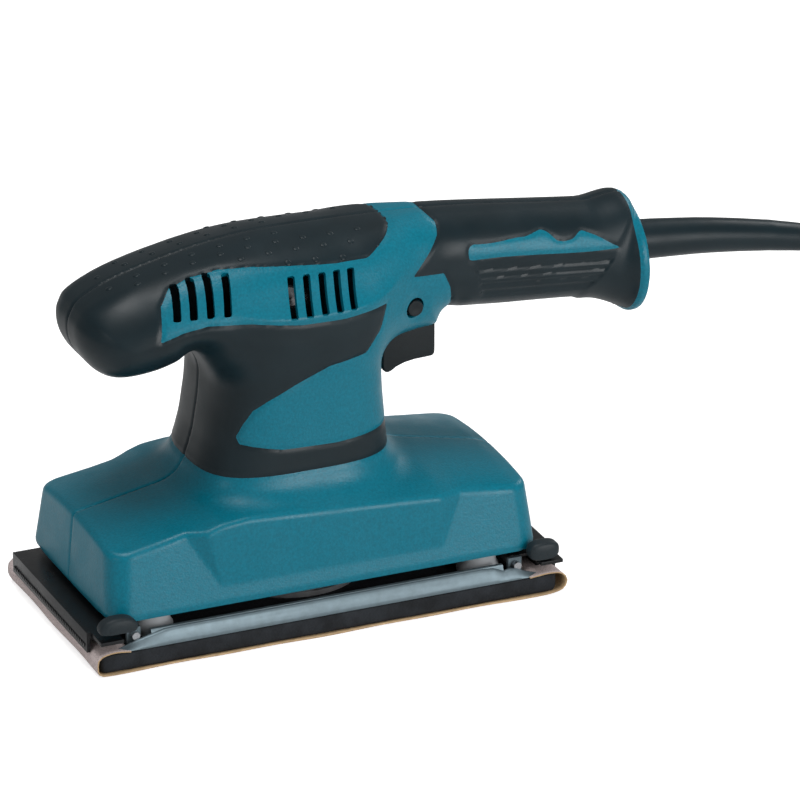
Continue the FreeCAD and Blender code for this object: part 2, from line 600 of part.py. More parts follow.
def make_fan_stage(pin_top):
    weight_low = pin_top + " + weight_gap"
    plate_low = weight_low + " + weight_thickness"
    sector = cylinder("weight_radius", "weight_thickness", 0, 0, weight_low, sector=180, start=90)
    hub = cylinder("fan_hub - 1", "weight_thickness", 0, 0, weight_low)
    bore = cylinder("main_bearing_bore / 2", 60, 0, 0, 0)
    node("counterweight", without(joined(sector, hub), bore, name="counterweight"))
    blades = [cylinder("fan_radius", "fan_plate", 0, 0, plate_low),
              cylinder("fan_hub", "fan_plate + fan_blade", 0, 0, plate_low)]
    for step in range(int(at.blade_count)):
        turn = 360.0 * step / at.blade_count
        blade = doc.addObject("Part::Box", "blade")
        blade.Placement = Placement(Vector(), Rotation(Vector(0, 0, 1), turn))
        blade.setExpression("Length", linked("fan_radius - fan_hub + 1 - 0.3"))
        blade.setExpression("Width", linked("blade_thickness"))
        blade.setExpression("Height", linked("fan_blade + 0.5"))
        radians = math.radians(turn)
        blades.append(placed(blade, "(fan_hub - 1) * %f" % math.cos(radians),
                             "(fan_hub - 1) * %f" % math.sin(radians), plate_low + " + fan_plate - 0.5"))
    node("fan", without(joined(*blades), cylinder("main_bearing_bore / 2", 60, 0, 0, 0), name="fan"))
    fan_top = plate_low + " + fan_plate + fan_blade"
    node("shaft_spacer", tube("main_bearing_bore / 2 + spacer_wall", "main_bearing_bore / 2",
                              "partition_bottom - (%s)" % fan_top, 0, 0, fan_top, name="shaft_spacer"))


def thirds(circle, start=0):
    """Three places on a circle, as pairs of sheet expressions."""
    turns = [math.radians(start + 120 * step) for step in range(3)]
    return [("%s * %f" % (circle, math.cos(turn)), "%s * %f" % (circle, math.sin(turn))) for turn in turns]


def make_main_bearing_seat():
    """The retainer holds the main bearing in the partition; the baffle rings the fan."""
    make_bearing("main_bearing", "main_bearing_bore", "main_bearing_outside", "main_bearing_width",
                 0, "partition_bottom")
    low = "partition_bottom - retainer_thickness"
    plate = [cylinder("retainer_radius", "retainer_thickness", 0, 0, low)]
    plate += [cylinder("retainer_ear", "retainer_thickness", x, y, low) for x, y in thirds("retainer_circle")]
    tools = [cylinder("main_bearing_outside / 2 - 1.6", 20, 0, 0, low + " - 1")]
    tools += [cylinder("plate_screw_radius", 20, x, y, low + " - 1") for x, y in thirds("retainer_circle")]
    node("bearing_retainer", without(joined(*plate), *tools, name="bearing_retainer"))
    ring = tube("baffle_outer", "baffle_inner", "baffle_thickness", 0, 0, "baffle_height")
    tools = [cylinder("plate_screw_radius", 20, x, y, "baffle_height - 1") for x, y in thirds("baffle_circle", 60)]
    node("baffle_plate", without(ring, *tools, name="baffle_plate"))
    places = [(x, y, low) for x, y in thirds("retainer_circle")]
    places += [(x, y, "baffle_height") for x, y in thirds("baffle_circle", 60)]
    screws = [joined(cylinder("plate_screw_radius", "plate_screw_length", x, y, z),
                     cylinder(2.8, 2.0, x, y, z + " - 2")) for x, y, z in places]
    node("plate_screws", group(*screws, name="plate_screws"))


def make_stator():
    top = "stator_bottom + stack_height"
    bars = {"front": [], "rear": []}
    for label, middle in (("front", 180), ("rear", 0)):
        for side in (-42, 42):
            bar = doc.addObject("Part::Box", "coil_side")
            turn = math.radians(middle + side)
            bar.Placement = Placement(Vector(), Rotation(Vector(0, 0, 1), middle + side))
            bar.setExpression("Length", linked("coil_radial"))
            bar.setExpression("Width", linked("coil_width"))
            bar.setExpression("Height", linked("stack_height + 2 * coil_overhang"))
            corner = Vector(0, -0.5, 0)
            ahead, aside = Vector(math.cos(turn), math.sin(turn), 0), Vector(-math.sin(turn), math.cos(turn), 0)
            placed(bar, "(stator_bore + 1) * %f + coil_width * %f" % (ahead.x, corner.y * aside.x),
                   "(stator_bore + 1) * %f + coil_width * %f" % (ahead.y, corner.y * aside.y),
                   "stator_bottom - coil_overhang")
            bars[label].append(bar)
    core = tube("stator_radius", "stator_bore", "stack_height", 0, 0, "stator_bottom")
    node("stator_core", without(core, *bars["front"], *bars["rear"], name="stator_core"))
    coils = []
    for label, middle in (("front", 180), ("rear", 0)):
        ends = []
        for low in ("stator_bottom - coil_overhang", top + " + coil_overhang - coil_width"):
            for radius in ("stator_bore + 1 + coil_radial", "stator_bore + 1"):
                ends.append(cylinder(radius, "coil_width", 0, 0, low, sector=84, start=middle - 42))
        turns = [without(ends[0], ends[1]), without(ends[2], ends[3])]
        coils.append(joined(*turns, *bars[label]))
    node("stator_coils", group(*coils, name="stator_coils"))


def make_armature():
    radius = "(stator_bore - air_gap)"
    slots = []
    for step in range(int(at.slot_count)):
        turn = math.radians(360.0 * step / at.slot_count)
        slot = doc.addObject("Part::Box", "slot")
        slot.Placement = Placement(Vector(), Rotation(Vector(0, 0, 1), math.degrees(turn)))
        slot.setExpression("Length", linked("slot_depth"))
        slot.setExpression("Width", linked("slot_width"))
        slot.setExpression("Height", linked("stack_height"))
        inner = "(stator_bore - air_gap - slot_depth - 0.8)"
        slots.append(placed(slot, "%s * %f + slot_width / 2 * %f" % (inner, math.cos(turn), math.sin(turn)),
                            "%s * %f - slot_width / 2 * %f" % (inner, math.sin(turn), math.cos(turn)),
                            "stator_bottom"))
    core = tube(radius, "armature_shaft_radius", "stack_height", 0, 0, "stator_bottom")
    node("armature_core", without(core, *slots, name="armature_core"))
    ends = [tube("winding_radius", "armature_shaft_radius", "winding_overhang", 0, 0, low)
            for low in ("stator_bottom - winding_overhang", "stator_bottom + stack_height")]
    node("armature_windings", joined(*ends, *slots, name="armature_windings"))
    node("commutator", tube("commutator_radius", "armature_shaft_radius", "commutator_height", 0, 0,
                            "commutator_bottom", name="commutator"))


def make_top_bearing():
    low = "commutator_bottom + 13.1"
    make_bearing("top_bearing", "top_bearing_bore", "top_bearing_outside", "top_bearing_width", 0, low)
    node("top_bearing_boot", tube("top_bearing_outside / 2 + boot_wall", "top_bearing_outside / 2",
                                  "top_bearing_width", 0, 0, low, name="top_bearing_boot"))


def make_brushes():
    middle = "commutator_bottom + commutator_height / 2"
    face = "(commutator_radius + brush_gap)"
    back = "(commutator_radius + brush_gap + brush_length + brush_spring_length)"
    holders = []
    for label, sign in (("left", "-"), ("right", "")):
        start = "(commutator_radius + 1.3)"
        length = "(%s + holder_wall - %s)" % (back, start)
        holder = box("brush_width + 2 * (holder_wall + brush_play)", length, "commutator_height",
                     0, "%s(%s + %s / 2)" % (sign, start, length), "commutator_bottom")
        channel_length = "(%s - %s + 2)" % (back, start)
        channel = box("brush_width + 2 * brush_play", channel_length, "brush_height + 2 * brush_play", 0,
                      "%s(%s - 2 + %s / 2)" % (sign, start, channel_length),
                      middle + " - brush_height / 2 - brush_play")
        holders.append(without(holder, channel))
        node("carbon_brush_" + label, box("brush_width", "brush_length", "brush_height", 0,
                                          "%s(%s + brush_length / 2)" % (sign, face),
                                          middle + " - brush_height / 2", name="carbon_brush_" + label))
        low = "-" + back if sign else face + " + brush_length"
        node("brush_spring_" + label, tube(2.2, 1.4, "brush_spring_length", 0, low, middle, "Y",
                                           name="brush_spring_" + label))
    node("brush_holders", group(*holders, name="brush_holders"))


# ---------------------------------------------------------------- switch and lead

def make_switch():
    middle = "switch_front + switch_length / 2"
    body = box("switch_length", "2 * switch_half_width", "switch_height", middle, 0, "switch_bottom")
    plunger = cylinder(1.8, 1.6, "plunger_x", 0, "switch_bottom - 1.1")
    node("switch_body", joined(body, plunger, name="switch_body"))
    node("capacitor", box(18, 10, 12, 88, 0, 113, name="capacitor"))
    floor = "block_bottom + 3.5"
    front, back = "trigger_front", "(trigger_front + trigger_length)"
    outline = [(front, floor + " + 0.3 + trigger_flange"), (front, "trigger_bottom + 1.5"),
               (front + " + 1.5", "trigger_bottom"), (front + " + 5", "trigger_bottom + 1.8"),
               (front + " + 12", "trigger_bottom + 3.6"), (back + " - 4", "trigger_bottom + 3.8"),
               (back, "trigger_bottom + 4.6"), (back, floor + " + 0.3 + trigger_flange")]
    blade = profile_body("trigger_blade", "XZ_Plane", outline, "2 * trigger_half_width")
    flange = box("trigger_length", "2 * trigger_half_width + 4", "trigger_flange",
                 front + " + trigger_length / 2", 0, floor + " + 0.3")
    node("trigger", joined(blade, flange, name="trigger"))
    seat = floor + " + 0.3 + trigger_flange"
    node("trigger_spring", tube("spring_radius", "spring_radius - 0.8", "switch_bottom - (%s)" % seat,
                                "trigger_spring_x", 0, seat, name="trigger_spring"))
    stem = cylinder("button_radius", "button_face - button_inner", "button_x", "-button_face",
                    "button_z", "Y")
    rim = cylinder("button_flange_radius", 1.6, "button_x", "-button_inner - 1.6", "button_z", "Y")
    node("lock_button", joined(stem, rim, name="lock_button"))
    node("lock_spring", tube(2.4, 1.6, "button_inner - switch_half_width", "button_x", "-button_inner",
                             "button_z", "Y", name="lock_spring"))


CORD_ROUTE = [(220.0, 0, 107.0), (238.6, 0, 103.05), (253.6, 0, 91.35), (261.9, 0, 74.3),
              (261.9, 0, 40.3), (269.3, -7.4, 22.1), (292.1, -30.2, 3.5), (311.5, -43.0, 3.5),
              (331.5, -46.2, 3.5), (350.0, -40.3, 3.5)]
TAIL_ROUTE = [(42.6, 8.8, 19.5), (31, 23.2, 23.8), (14.0, 31.0, 27.6), (-4.5, 31.5, 27.85)]


def round_tube(label, route, radius):
    """A tube along straight runs joined by tangent arcs as large as the runs allow."""
    points = [Vector(*point) for point in route]
    edges, last, radii = [], points[0], []
    for before, corner, after in zip(points, points[1:], points[2:]):
        incoming, outgoing = (corner - before), (after - corner)
        turn = incoming.getAngle(outgoing)
        reach = 0.45 * min(incoming.Length, outgoing.Length)
        radii.append(reach / math.tan(turn / 2))
        start = corner - incoming.normalize() * reach
        end = corner + outgoing.normalize() * reach
        bisector = (end - corner + start - corner).normalize()
        centre = corner + bisector * (radii[-1] / math.cos(turn / 2))
        edges.append(Part.LineSegment(last, start).toShape())
        edges.append(Part.Arc(start, centre - bisector * radii[-1], end).toShape())
        last = end
    edges.append(Part.LineSegment(last, points[-1]).toShape())
    path = Part.Wire(edges)
    section = Part.Wire(Part.makeCircle(radius, points[0], points[1] - points[0]))
    solid = path.makePipeShell([section], True, False)
    expected = math.pi * radius ** 2 * path.Length
    print("%s: length %.1f, radii %s, volume ratio %.4f"
          % (label, path.Length, ", ".join("%.0f" % r for r in radii), solid.Volume / expected))
    return solid


def make_wires():
    """Two thin leads run from the switch past the capacitor to the mains lead."""
    wires = []
    for side in (-1, 1):
        route = [(at.switch_front + at.switch_length, side * 6.4, 121.5), (97, side * 6.4, 121.5),
                 (at.lead_start - 6, side * 1.8, lead_axis(at.lead_start) + 0.56),
                 (at.lead_start - 0.03, side * 1.8, lead_axis(at.lead_start))]
        wires.append(round_tube("supply wire", route, at.wire_radius))
    node("supply_wires", formed(Part.makeCompound(wires), "supply_wires"))


def make_cord():
    offset = Vector(at.coil_x, at.coil_y, 0)
    tail = [tuple(offset + Vector(*point)) for point in TAIL_ROUTE]
    main = round_tube("cord", CORD_ROUTE, at.lead_radius)
    end = round_tube("tail", tail, at.lead_radius)
    node("cord_tube", formed(Part.makeCompound([main, end]), "cord_tube"))
    node("cord_coil", tube("coil_outer", "coil_inner", "coil_height", "coil_x", "coil_y", 0, name="cord_coil"))
    half, neck = "plug_width / 2", "plug_neck / 2"
    outline = [("0", neck), ("0", "-" + neck), ("-plug_length * 0.25", "-" + neck + " - 1"),
               ("-plug_length * 0.6", "-" + half), ("-plug_length", "-" + half), ("-plug_length", half),
               ("-plug_length * 0.6", half), ("-plug_length * 0.25", neck + " + 1")]
    plug = profile_body("plug_body", "XY_Plane", outline, "plug_thickness",
                        "coil_height + plug_thickness / 2")
    placed(plug, "coil_x - 4.5", "coil_y + 31.5", "coil_height + plug_thickness / 2")
    node("plug_body", plug)
    pins = [cylinder("plug_pin_radius", "plug_pin_length", "coil_x - 4.5 - plug_length - plug_pin_length",
                     "coil_y + 31.5 + %d * plug_pin_spacing / 2" % side,
                     "coil_height + plug_thickness / 2", "X") for side in (-1, 1)]
    node("plug_pins", group(*pins, name="plug_pins"))


def write_parts():
    doc.recompute()
    failed = [item.Label for item in doc.Objects if {"Invalid", "Error"} & set(item.State)]
    for item in node_objects:
        if item.Shape.isNull() or not item.Shape.isValid() or not item.Shape.Solids:
            failed.append(item.Label + " (shape)")
    if failed:
        raise RuntimeError("not built: " + ", ".join(failed))
    os.makedirs("parts", exist_ok=True)
    for item in node_objects:
        item.Shape.exportStep("parts/%s.step" % item.Label)
    print("%d nodes, %d solids" % (len(node_objects), sum(len(i.Shape.Solids) for i in node_objects)))


make_paper()
make_pad()
plate_top = make_plate()
make_clamps(plate_top)
make_bearing_box(plate_top)
make_posts(plate_top)
shaft_step = make_shaft(plate_top)
make_fan_stage(shaft_step)
make_main_bearing_seat()
make_stator()
make_armature()
make_top_bearing()
make_brushes()
make_switch()
make_wires()
make_cord()
lead, guard_outside = make_lead_and_guard()
saddle = make_clip(lead)
make_casing_screws()
make_casing(lead, guard_outside, saddle)
write_parts()
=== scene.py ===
import math

import bmesh
import bpy
import numpy as np
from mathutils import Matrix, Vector


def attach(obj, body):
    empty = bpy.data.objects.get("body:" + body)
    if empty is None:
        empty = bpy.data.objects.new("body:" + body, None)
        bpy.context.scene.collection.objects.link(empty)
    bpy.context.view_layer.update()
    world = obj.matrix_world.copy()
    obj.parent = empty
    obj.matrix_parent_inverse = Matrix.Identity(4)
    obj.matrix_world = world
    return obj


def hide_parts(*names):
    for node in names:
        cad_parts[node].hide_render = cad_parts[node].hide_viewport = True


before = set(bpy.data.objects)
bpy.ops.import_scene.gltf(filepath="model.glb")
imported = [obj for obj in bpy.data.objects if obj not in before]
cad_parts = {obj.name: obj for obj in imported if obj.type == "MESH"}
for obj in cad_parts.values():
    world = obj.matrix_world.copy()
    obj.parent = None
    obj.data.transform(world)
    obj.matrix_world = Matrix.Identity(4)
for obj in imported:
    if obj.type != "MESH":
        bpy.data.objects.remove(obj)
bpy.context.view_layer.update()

# the object stands on its paper with the nose at -X; sizes are in millimetres
# until a mesh is written, in metres
mm = 0.001

view = {"azimuth": -23.57, "elevation": 23.28, "distance": 2.4, "lens": 286.74,
        "target": (0.0476, 0.0, 0.0687)}


def addObject(name, data):
    obj = bpy.data.objects.new(name, data)
    bpy.context.scene.collection.objects.link(obj)
    return obj


def makeCamera():
    a, e = math.radians(view["azimuth"]), math.radians(view["elevation"])
    back = Vector((math.sin(a) * math.cos(e), -math.cos(a) * math.cos(e), math.sin(e)))
    data = bpy.data.cameras.new("camera")
    data.lens, data.sensor_width = view["lens"], 36.0
    data.clip_start, data.clip_end = 0.05, 50.0
    camera = addObject("camera", data)
    camera.location = Vector(view["target"]) + back * view["distance"]
    camera.rotation_euler = back.to_track_quat("Z", "Y").to_euler()
    bpy.context.scene.camera = camera


makeCamera()
print("camera placed")


def meshObject(name, verts, faces, smooth=True, scale=mm):
    mesh = bpy.data.meshes.new(name)
    mesh.from_pydata([tuple(float(c) * scale for c in v) for v in verts], [],
                     [tuple(int(i) for i in f) for f in faces])
    mesh.validate()
    mesh.polygons.foreach_set("use_smooth", [smooth] * len(mesh.polygons))
    return addObject(name, mesh)


def finalMesh(obj):
    bpy.context.view_layer.update()
    return bpy.data.meshes.new_from_object(obj.evaluated_get(bpy.context.evaluated_depsgraph_get()))


def applyModifiers(obj):
    mesh = finalMesh(obj)
    obj.modifiers.clear()
    obj.data = mesh
    return obj


def crease(obj, degrees=35):
    obj.data.set_sharp_from_angle(angle=math.radians(degrees))
    return obj


# the route is the CAD cord's own; the coil's turns follow it on one spline
lead = {"radius": 3.5, "squeeze": 0.9661, "step": 30, "start": -42, "end": 2611,
        "route": [(220.0, 0, 107.0), (238.6, 0, 103.05), (253.6, 0, 91.35), (261.9, 0, 74.3),
                  (261.9, 0, 40.3), (269.3, -7.4, 22.1), (292.1, -30.2, 3.5), (311.5, -43.0, 3.5),
                  (331.5, -46.2, 3.5), (350.0, -40.3, 3.5)],
        "centre": (329.6, 3.5),
        "turns": [(0, 45.3, 3.5), (180, 45.3, 3.5), (360, 38.3, 3.5), (540, 38.3, 3.5), (720, 31.4, 3.5),
                  (810, 31.4, 3.5), (900, 31.4, 10.5), (990, 31.4, 10.5), (1170, 38.3, 10.5),
                  (1350, 38.3, 10.5), (1530, 45.3, 10.5), (1600, 45.3, 10.5), (1710, 44.0, 17.5),
                  (2380, 30.0, 17.5), (2652, 31.3, 27.85)],
        "tail": [(8.5, 31.0, 27.6), (-4.5, 31.5, 27.85)]}


def windCoil():
    # each turn lies a diameter from the one beside it and the one below it
    cx, cy = lead["centre"]
    degrees = np.arange(0, lead["end"], lead["step"])
    at = [turn[0] for turn in lead["turns"]]
    radius, height = (np.interp(degrees, at, [turn[k] for turn in lead["turns"]]) for k in (1, 2))
    for line in (radius, height):
        line[1:-1] = (line[:-2] + 2 * line[1:-1] + line[2:]) / 4
    angle = np.radians(lead["start"] + degrees)
    reach = radius / lead["squeeze"]
    return [(cx + x, cy + y, z) for x, y, z in zip(reach * np.cos(angle), reach * np.sin(angle), height)]


def makeCord():
    cx, cy = lead["centre"]
    tail = [(cx + x, cy + y, z) for x, y, z in lead["tail"]]
    points = lead["route"] + windCoil() + tail
    curve = bpy.data.curves.new("mains_lead", "CURVE")
    curve.dimensions = "3D"
    spline = curve.splines.new("NURBS")
    spline.points.add(len(points) - 1)
    for point, (x, y, z) in zip(spline.points, points):
        point.co, point.radius = (x * mm, y * mm, z * mm, 1), lead["radius"] * mm
    spline.order_u, spline.use_endpoint_u, spline.resolution_u = 3, True, 6
    curve.bevel_depth, curve.bevel_resolution, curve.use_fill_caps = 1.0, 5, True
    obj = addObject("mains_lead", curve)
    # the length is measured along the same curve without its round section
    bare = addObject("lead_line", curve.copy())
    bare.data.bevel_depth = 0
    spots = np.array([v.co for v in finalMesh(bare).vertices])
    bpy.data.objects.remove(bare)
    length = float(np.linalg.norm(np.diff(spots, axis=0), axis=1).sum())
    print("lead spline", round(length, 3), "m")
    return obj, length


cordPiece, cordLength = makeCord()
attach(cordPiece, "housing")
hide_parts("cord_tube", "cord_coil")


# One smooth field describes the outside of the casing: below zero inside it.
# Its surface is meshed once for the left half and mirrored for the right.

skin = {"step": 0.9, "thickness": 2.0, "seamDepth": 0.5, "seamWidth": 0.55,
        "bodyBlend": 9.0, "collarBlend": 11.0, "crestRound": 1.9, "facet": 4.2, "foot": 18.5,
        "low": (-90, -48, 15), "high": (144, 1.5, 150.5), "crownFoot": 112, "crownRise": 22}
neck = {"power": 3.2, "foot": 40, "top": 122, "leastSlope": 0.012}

# the groove runs along the edge of each soft grip, between the collar and the flange
groove = {"depth": 0.4, "width": 0.8, "foot": 58, "end": 130}
ribs = {"count": 5, "pitch": 3.4, "width": 0.95, "depth": 0.55, "sink": 0.35}
flange = {"height": 113.7, "radius": 21.9, "middle": 139.5, "half": 1.6, "round": 0.9}
flare = {"radius": 13.0, "growth": 8.3, "start": 118.0, "length": 19.5, "middle": 128.0, "half": 9.6}

# the casing's outline in the seam plane, x and z, from the nose over the top
bodyOutline = [(-84.5, 115.1), (-85.5, 121.5), (-84.2, 126.4), (-80.4, 131.3), (-68.1, 137.0),
               (-50.4, 141.7), (-32.0, 145.3), (-14.0, 147.3), (4.0, 147.6), (22.8, 147.3),
               (37.6, 146.8), (56.0, 145.9), (75.4, 144.1), (105.0, 140.3), (122.0, 138.3),
               (141.0, 136.4), (141.0, 99.3), (122.0, 100.6), (105.0, 102.2), (85.0, 103.7),
               (70.0, 105.2), (62.5, 106.0), (58.5, 100.5), (50.0, 100.1), (36.0, 100.1), (10.0, 99.0),
               (-20.0, 99.0), (-34.0, 103.0), (-43.0, 110.6), (-50.0, 107.2), (-58.0, 104.6),
               (-68.0, 103.3), (-75.0, 104.3), (-80.5, 108.4)]

frontGripOutline = [(-95, 160), (41, 160), (40.6, 147.6), (38, 145.6), (33.7, 142.8), (24.6, 138.6),
                    (12, 138.7), (-6, 140.4), (-21, 141.6), (-33, 141.6), (-45, 139.8), (-53, 137.2),
                    (-57.4, 132.5), (-60, 121), (-51, 123.8), (-42, 125.3), (-25.6, 124.4),
                    (-6, 121.6), (11, 121.2), (30, 122), (26.8, 113), (20.7, 104.5), (5.5, 102.4),
                    (-8, 96.6), (-18.4, 91.2), (-23.6, 87.6), (-26.9, 82.1), (-29.3, 76.9),
                    (-28.4, 74.3), (-12.5, 71.3), (8.8, 70.8), (28, 71.5), (50, 72.2), (50, 61.5),
                    (-95, 61.5)]

rearGripOutline = [(54.8, 152), (54.8, 145.8), (57.2, 143.2), (56.2, 139.8), (51.7, 135), (46, 129.6),
                   (43.4, 127.4), (50, 126.2), (57.5, 125.4), (60.2, 119.5), (63.0, 108), (64.5, 95),
                   (137.3, 95), (137.3, 152)]

accentOutline = [(68.0, 132.6), (69.5, 134.1), (72.2, 133.9), (78.8, 133.4), (88.7, 133.7), (92.0, 133.5),
                 (95.2, 134.1), (98.3, 134.7), (99.7, 134.4), (101.8, 133.2), (104.6, 130.3), (107, 129.5),
                 (110, 129.4), (111.8, 129.8), (113.6, 131.1), (115.2, 131.9), (117, 131.3), (121.6, 129.1),
                 (124.8, 127.1), (128.1, 124.9), (130.5, 123.2), (115, 124.1), (100.2, 125.8),
                 (81.5, 127.7), (69.6, 128.3), (68.0, 129.6)]

ribbedOutline = [(69.7, 127.6), (100, 125.6), (130.3, 121.8), (124, 113), (118.2, 107.7), (96, 109.4),
                 (74.7, 111.4), (72, 119)]

frontSlots = {"tops": [(-50.5, 138.6), (-44.3, 140.0), (-38.1, 141.0), (-31.4, 140.9)],
              "feet": [(-52.9, 127.8), (-46.8, 127.9), (-40.5, 127.9), (-34.2, 127.8)]}
rearSlots = {"tops": [(-7.4, 137.6), (-1.2, 137.4), (5.0, 137.2), (11.0, 137.0), (16.8, 136.8)],
             "feet": [(-9.7, 124.2), (-3.5, 124.1), (2.7, 124.0), (8.7, 123.9), (14.5, 123.8)]}
slotHalfWidth = 1.5
triggerSlot = {"x": 47.5, "halfX": 10.5, "halfY": 8.9, "z": 98, "halfZ": 5}

# the screws go in from the right; the lock button is on the left
wells = {"places": [(-66, 118), (34, 134), (104, 109), (131.5, 107.5), (-50, 36), (50, 36)],
         "radius": 4.05, "floor": 12.0, "screwHole": 0.9, "wall": 0.5, "base": 0.7}
buttonHole = {"x": 44.5, "z": 114.6, "radius": 4.1}


def smoothLoop(points, steps=8):
    points = np.array(points, float)
    loop = []
    for i in range(len(points)):
        a, b, c, d = (points[(i + k) % len(points)] for k in (-1, 0, 1, 2))
        for t in np.arange(steps) / steps:
            loop.append(0.5 * (2 * b + (c - a) * t + (2 * a - 5 * b + 4 * c - d) * t ** 2
                               + (3 * b - a - 3 * c + d) * t ** 3))
    return np.array(loop)


class Outline:
    # signed distance from a closed outline in x and z, kept in a table
    def __init__(self, loop, step=0.5, margin=14):
        self.step = step
        self.low = loop.min(0) - margin
        counts = np.ceil((loop.max(0) + margin - self.low) / step).astype(int) + 1
        grid = np.stack(np.meshgrid(*[np.arange(n) * step + l for n, l in zip(counts, self.low)],
                                    indexing="ij"), -1).reshape(-1, 2)
        best = np.full(len(grid), 1e9)
        inside = np.zeros(len(grid), bool)
        for a, b in zip(loop, np.roll(loop, -1, 0)):
            run = b - a
            t = np.clip(((grid - a) @ run) / (run @ run + 1e-12), 0, 1)
            best = np.minimum(best, ((grid - a - t[:, None] * run) ** 2).sum(1))
            crosses = (a[1] > grid[:, 1]) != (b[1] > grid[:, 1])
            reach = a[0] + (grid[:, 1] - a[1]) * run[0] / (run[1] if run[1] else 1e-12)
            inside ^= crosses & (grid[:, 0] < reach)
        self.values = (np.sqrt(best) * np.where(inside, -1, 1)).reshape(counts)

    def __call__(self, x, z):
        n, m = self.values.shape
        u = np.clip((x - self.low[0]) / self.step, 0, n - 1.001)
        v = np.clip((z - self.low[1]) / self.step, 0, m - 1.001)
        i, j = u.astype(int), v.astype(int)
        s, t = u - i, v - j
        return (self.values[i, j] * (1 - s) * (1 - t) + self.values[i + 1, j] * s * (1 - t)
                + self.values[i, j + 1] * (1 - s) * t + self.values[i + 1, j + 1] * s * t)


def profile(points, blur=3.0):
    # a smooth curve through (position, value) pairs, as a lookup
    at = np.arange(points[0][0] - 20, points[-1][0] + 20, 0.5)
    values = np.interp(at, *zip(*points))
    if blur:
        reach = np.arange(-int(6 * blur), int(6 * blur) + 1) * 0.5
        weight = np.exp(-(reach / blur) ** 2)
        padded = np.pad(values, len(reach) // 2, mode="edge")
        values = np.convolve(padded, weight / weight.sum(), mode="valid")
    return lambda x: np.interp(x, at, values)


bodySide = Outline(smoothLoop(bodyOutline))
frontGrip, rearGrip, ribbed = (Outline(np.array(corners, float), margin=40) for corners in (
    frontGripOutline, rearGripOutline, ribbedOutline))
accent = Outline(smoothLoop(accentOutline, 2), margin=40)

bodyWidth = profile([(-86, 26.0), (-78, 28.0), (-66, 29.4), (-52, 30.6), (-36, 32.4), (-14, 34.0),
                     (8, 33.4), (24, 30.6), (36, 25.6), (46, 21.0), (57, 18.4), (76, 17.5), (105, 17.4),
                     (141, 16.6)], 4)
bodyRound = profile([(-86, 19.0), (-40, 18.0), (0, 17.0), (36, 16.6), (60, 16.4), (141, 15.9)], 4)
bodyCrown = profile([(-86, 0.004), (-50, 0.0062), (-14, 0.0102), (18, 0.0125), (34, 0.007), (50, 0.0),
                     (141, 0.0)], 4)
neckFront = profile([(40, -41.2), (61.5, -40.2), (72, -37.0), (85.7, -34.7), (101.6, -33.5),
                     (122, -33)], 2.5)
neckRear = profile([(40, 37.6), (61.5, 36.4), (85, 34.2), (100, 33.6), (122, 33)], 2.5)
neckWidth = profile([(40, 32.4), (61.5, 31.8), (80, 31.6), (100, 31.8), (122, 33)], 2.5)
roofCentre = profile([(-92, 44.4), (-84, 46.2), (-47, 53.5), (-30, 56), (0, 57), (30, 56), (45, 54.5),
                      (78, 47.8), (84, 45.4), (92, 43.4)], 2)
roofEdge = profile([(-92, 41.6), (-79, 43.0), (-63, 45.5), (-49, 48.3), (-42, 50.6), (-31, 51.7),
                    (0, 50.0), (30, 48.4), (46, 47.2), (55, 45.4), (77, 43.2), (92, 41.6)], 2)


def smoothMin(a, b, reach):
    h = np.clip(0.5 + 0.5 * (b - a) / reach, 0, 1)
    return b * (1 - h) + a * h - reach * h * (1 - h)


def roundedBoth(a, b, radius):
    p, q = a + radius, b + radius
    return np.minimum(np.maximum(p, q), 0) + np.hypot(np.maximum(p, 0), np.maximum(q, 0)) - radius


def rise(value):
    value = np.clip(value, 0, 1)
    return value * value * (3 - 2 * value)


def bodyField(x, y, z):
    lowered = z + bodyCrown(x) * y * y * rise((z - skin["crownFoot"]) / skin["crownRise"])
    return roundedBoth(bodySide(x, lowered), np.abs(y) - bodyWidth(x), bodyRound(x))


def neckField(x, y, z):
    power = neck["power"]
    front, rear, width = neckFront(z), neckRear(z), neckWidth(z)
    half = (rear - front) / 2
    u, v = np.abs(x - (rear + front) / 2) / half + 1e-6, np.abs(y) / width + 1e-6
    r = (u ** power + v ** power) ** (1 / power)
    slope = r ** (1 - power) * np.hypot(u ** (power - 1) / half, v ** (power - 1) / width)
    flat = (r - 1) / np.maximum(slope, neck["leastSlope"])
    return np.maximum(flat, np.maximum(z - neck["top"], neck["foot"] - z))


# the sides lean in from the foot; a proud facet between two slanted ends covers the middle of each long side
skirt = {"halfX": 86.5, "leanX": 0.097, "bow": 0.9, "halfY": 43.5, "leanY": 0.2, "corner": 8.5,
         "facetFoot": 26.0, "facetRise": 22.0, "facetFront": (42, 13.3, 7.7), "facetRear": (47, 10, 11),
         "roofReach": 39.0, "roofPower": 2.2}


def skirtField(x, y, z):
    curl = 0.14 * np.clip(21.0 - z, 0, 3) ** 2
    share = np.clip((z - skirt["facetFoot"]) / skirt["facetRise"], 0, 1.4)
    start, slant, width = skirt["facetFront"]
    front = np.clip((x + start + slant * share) / (width * share + 0.05), 0, 1)
    start, slant, width = skirt["facetRear"]
    rear = np.clip((start + slant * share - x) / (width * share + 0.05), 0, 1)
    above = z - skin["foot"]
    halfX = skirt["halfX"] - skirt["leanX"] * above - curl + skirt["bow"] * (1 - (y / 43) ** 2)
    halfY = skirt["halfY"] - skirt["leanY"] * above - curl + skin["facet"] * share * np.minimum(front, rear)
    side = roundedBoth(np.abs(x) - halfX, np.abs(y) - halfY, skirt["corner"]) * 0.98
    centre, edge = roofCentre(x), roofEdge(x)
    roof = centre - (centre - edge) * (np.abs(y) / skirt["roofReach"]) ** skirt["roofPower"]
    return roundedBoth(side, (z - roof) * 0.95, skin["crestRound"])


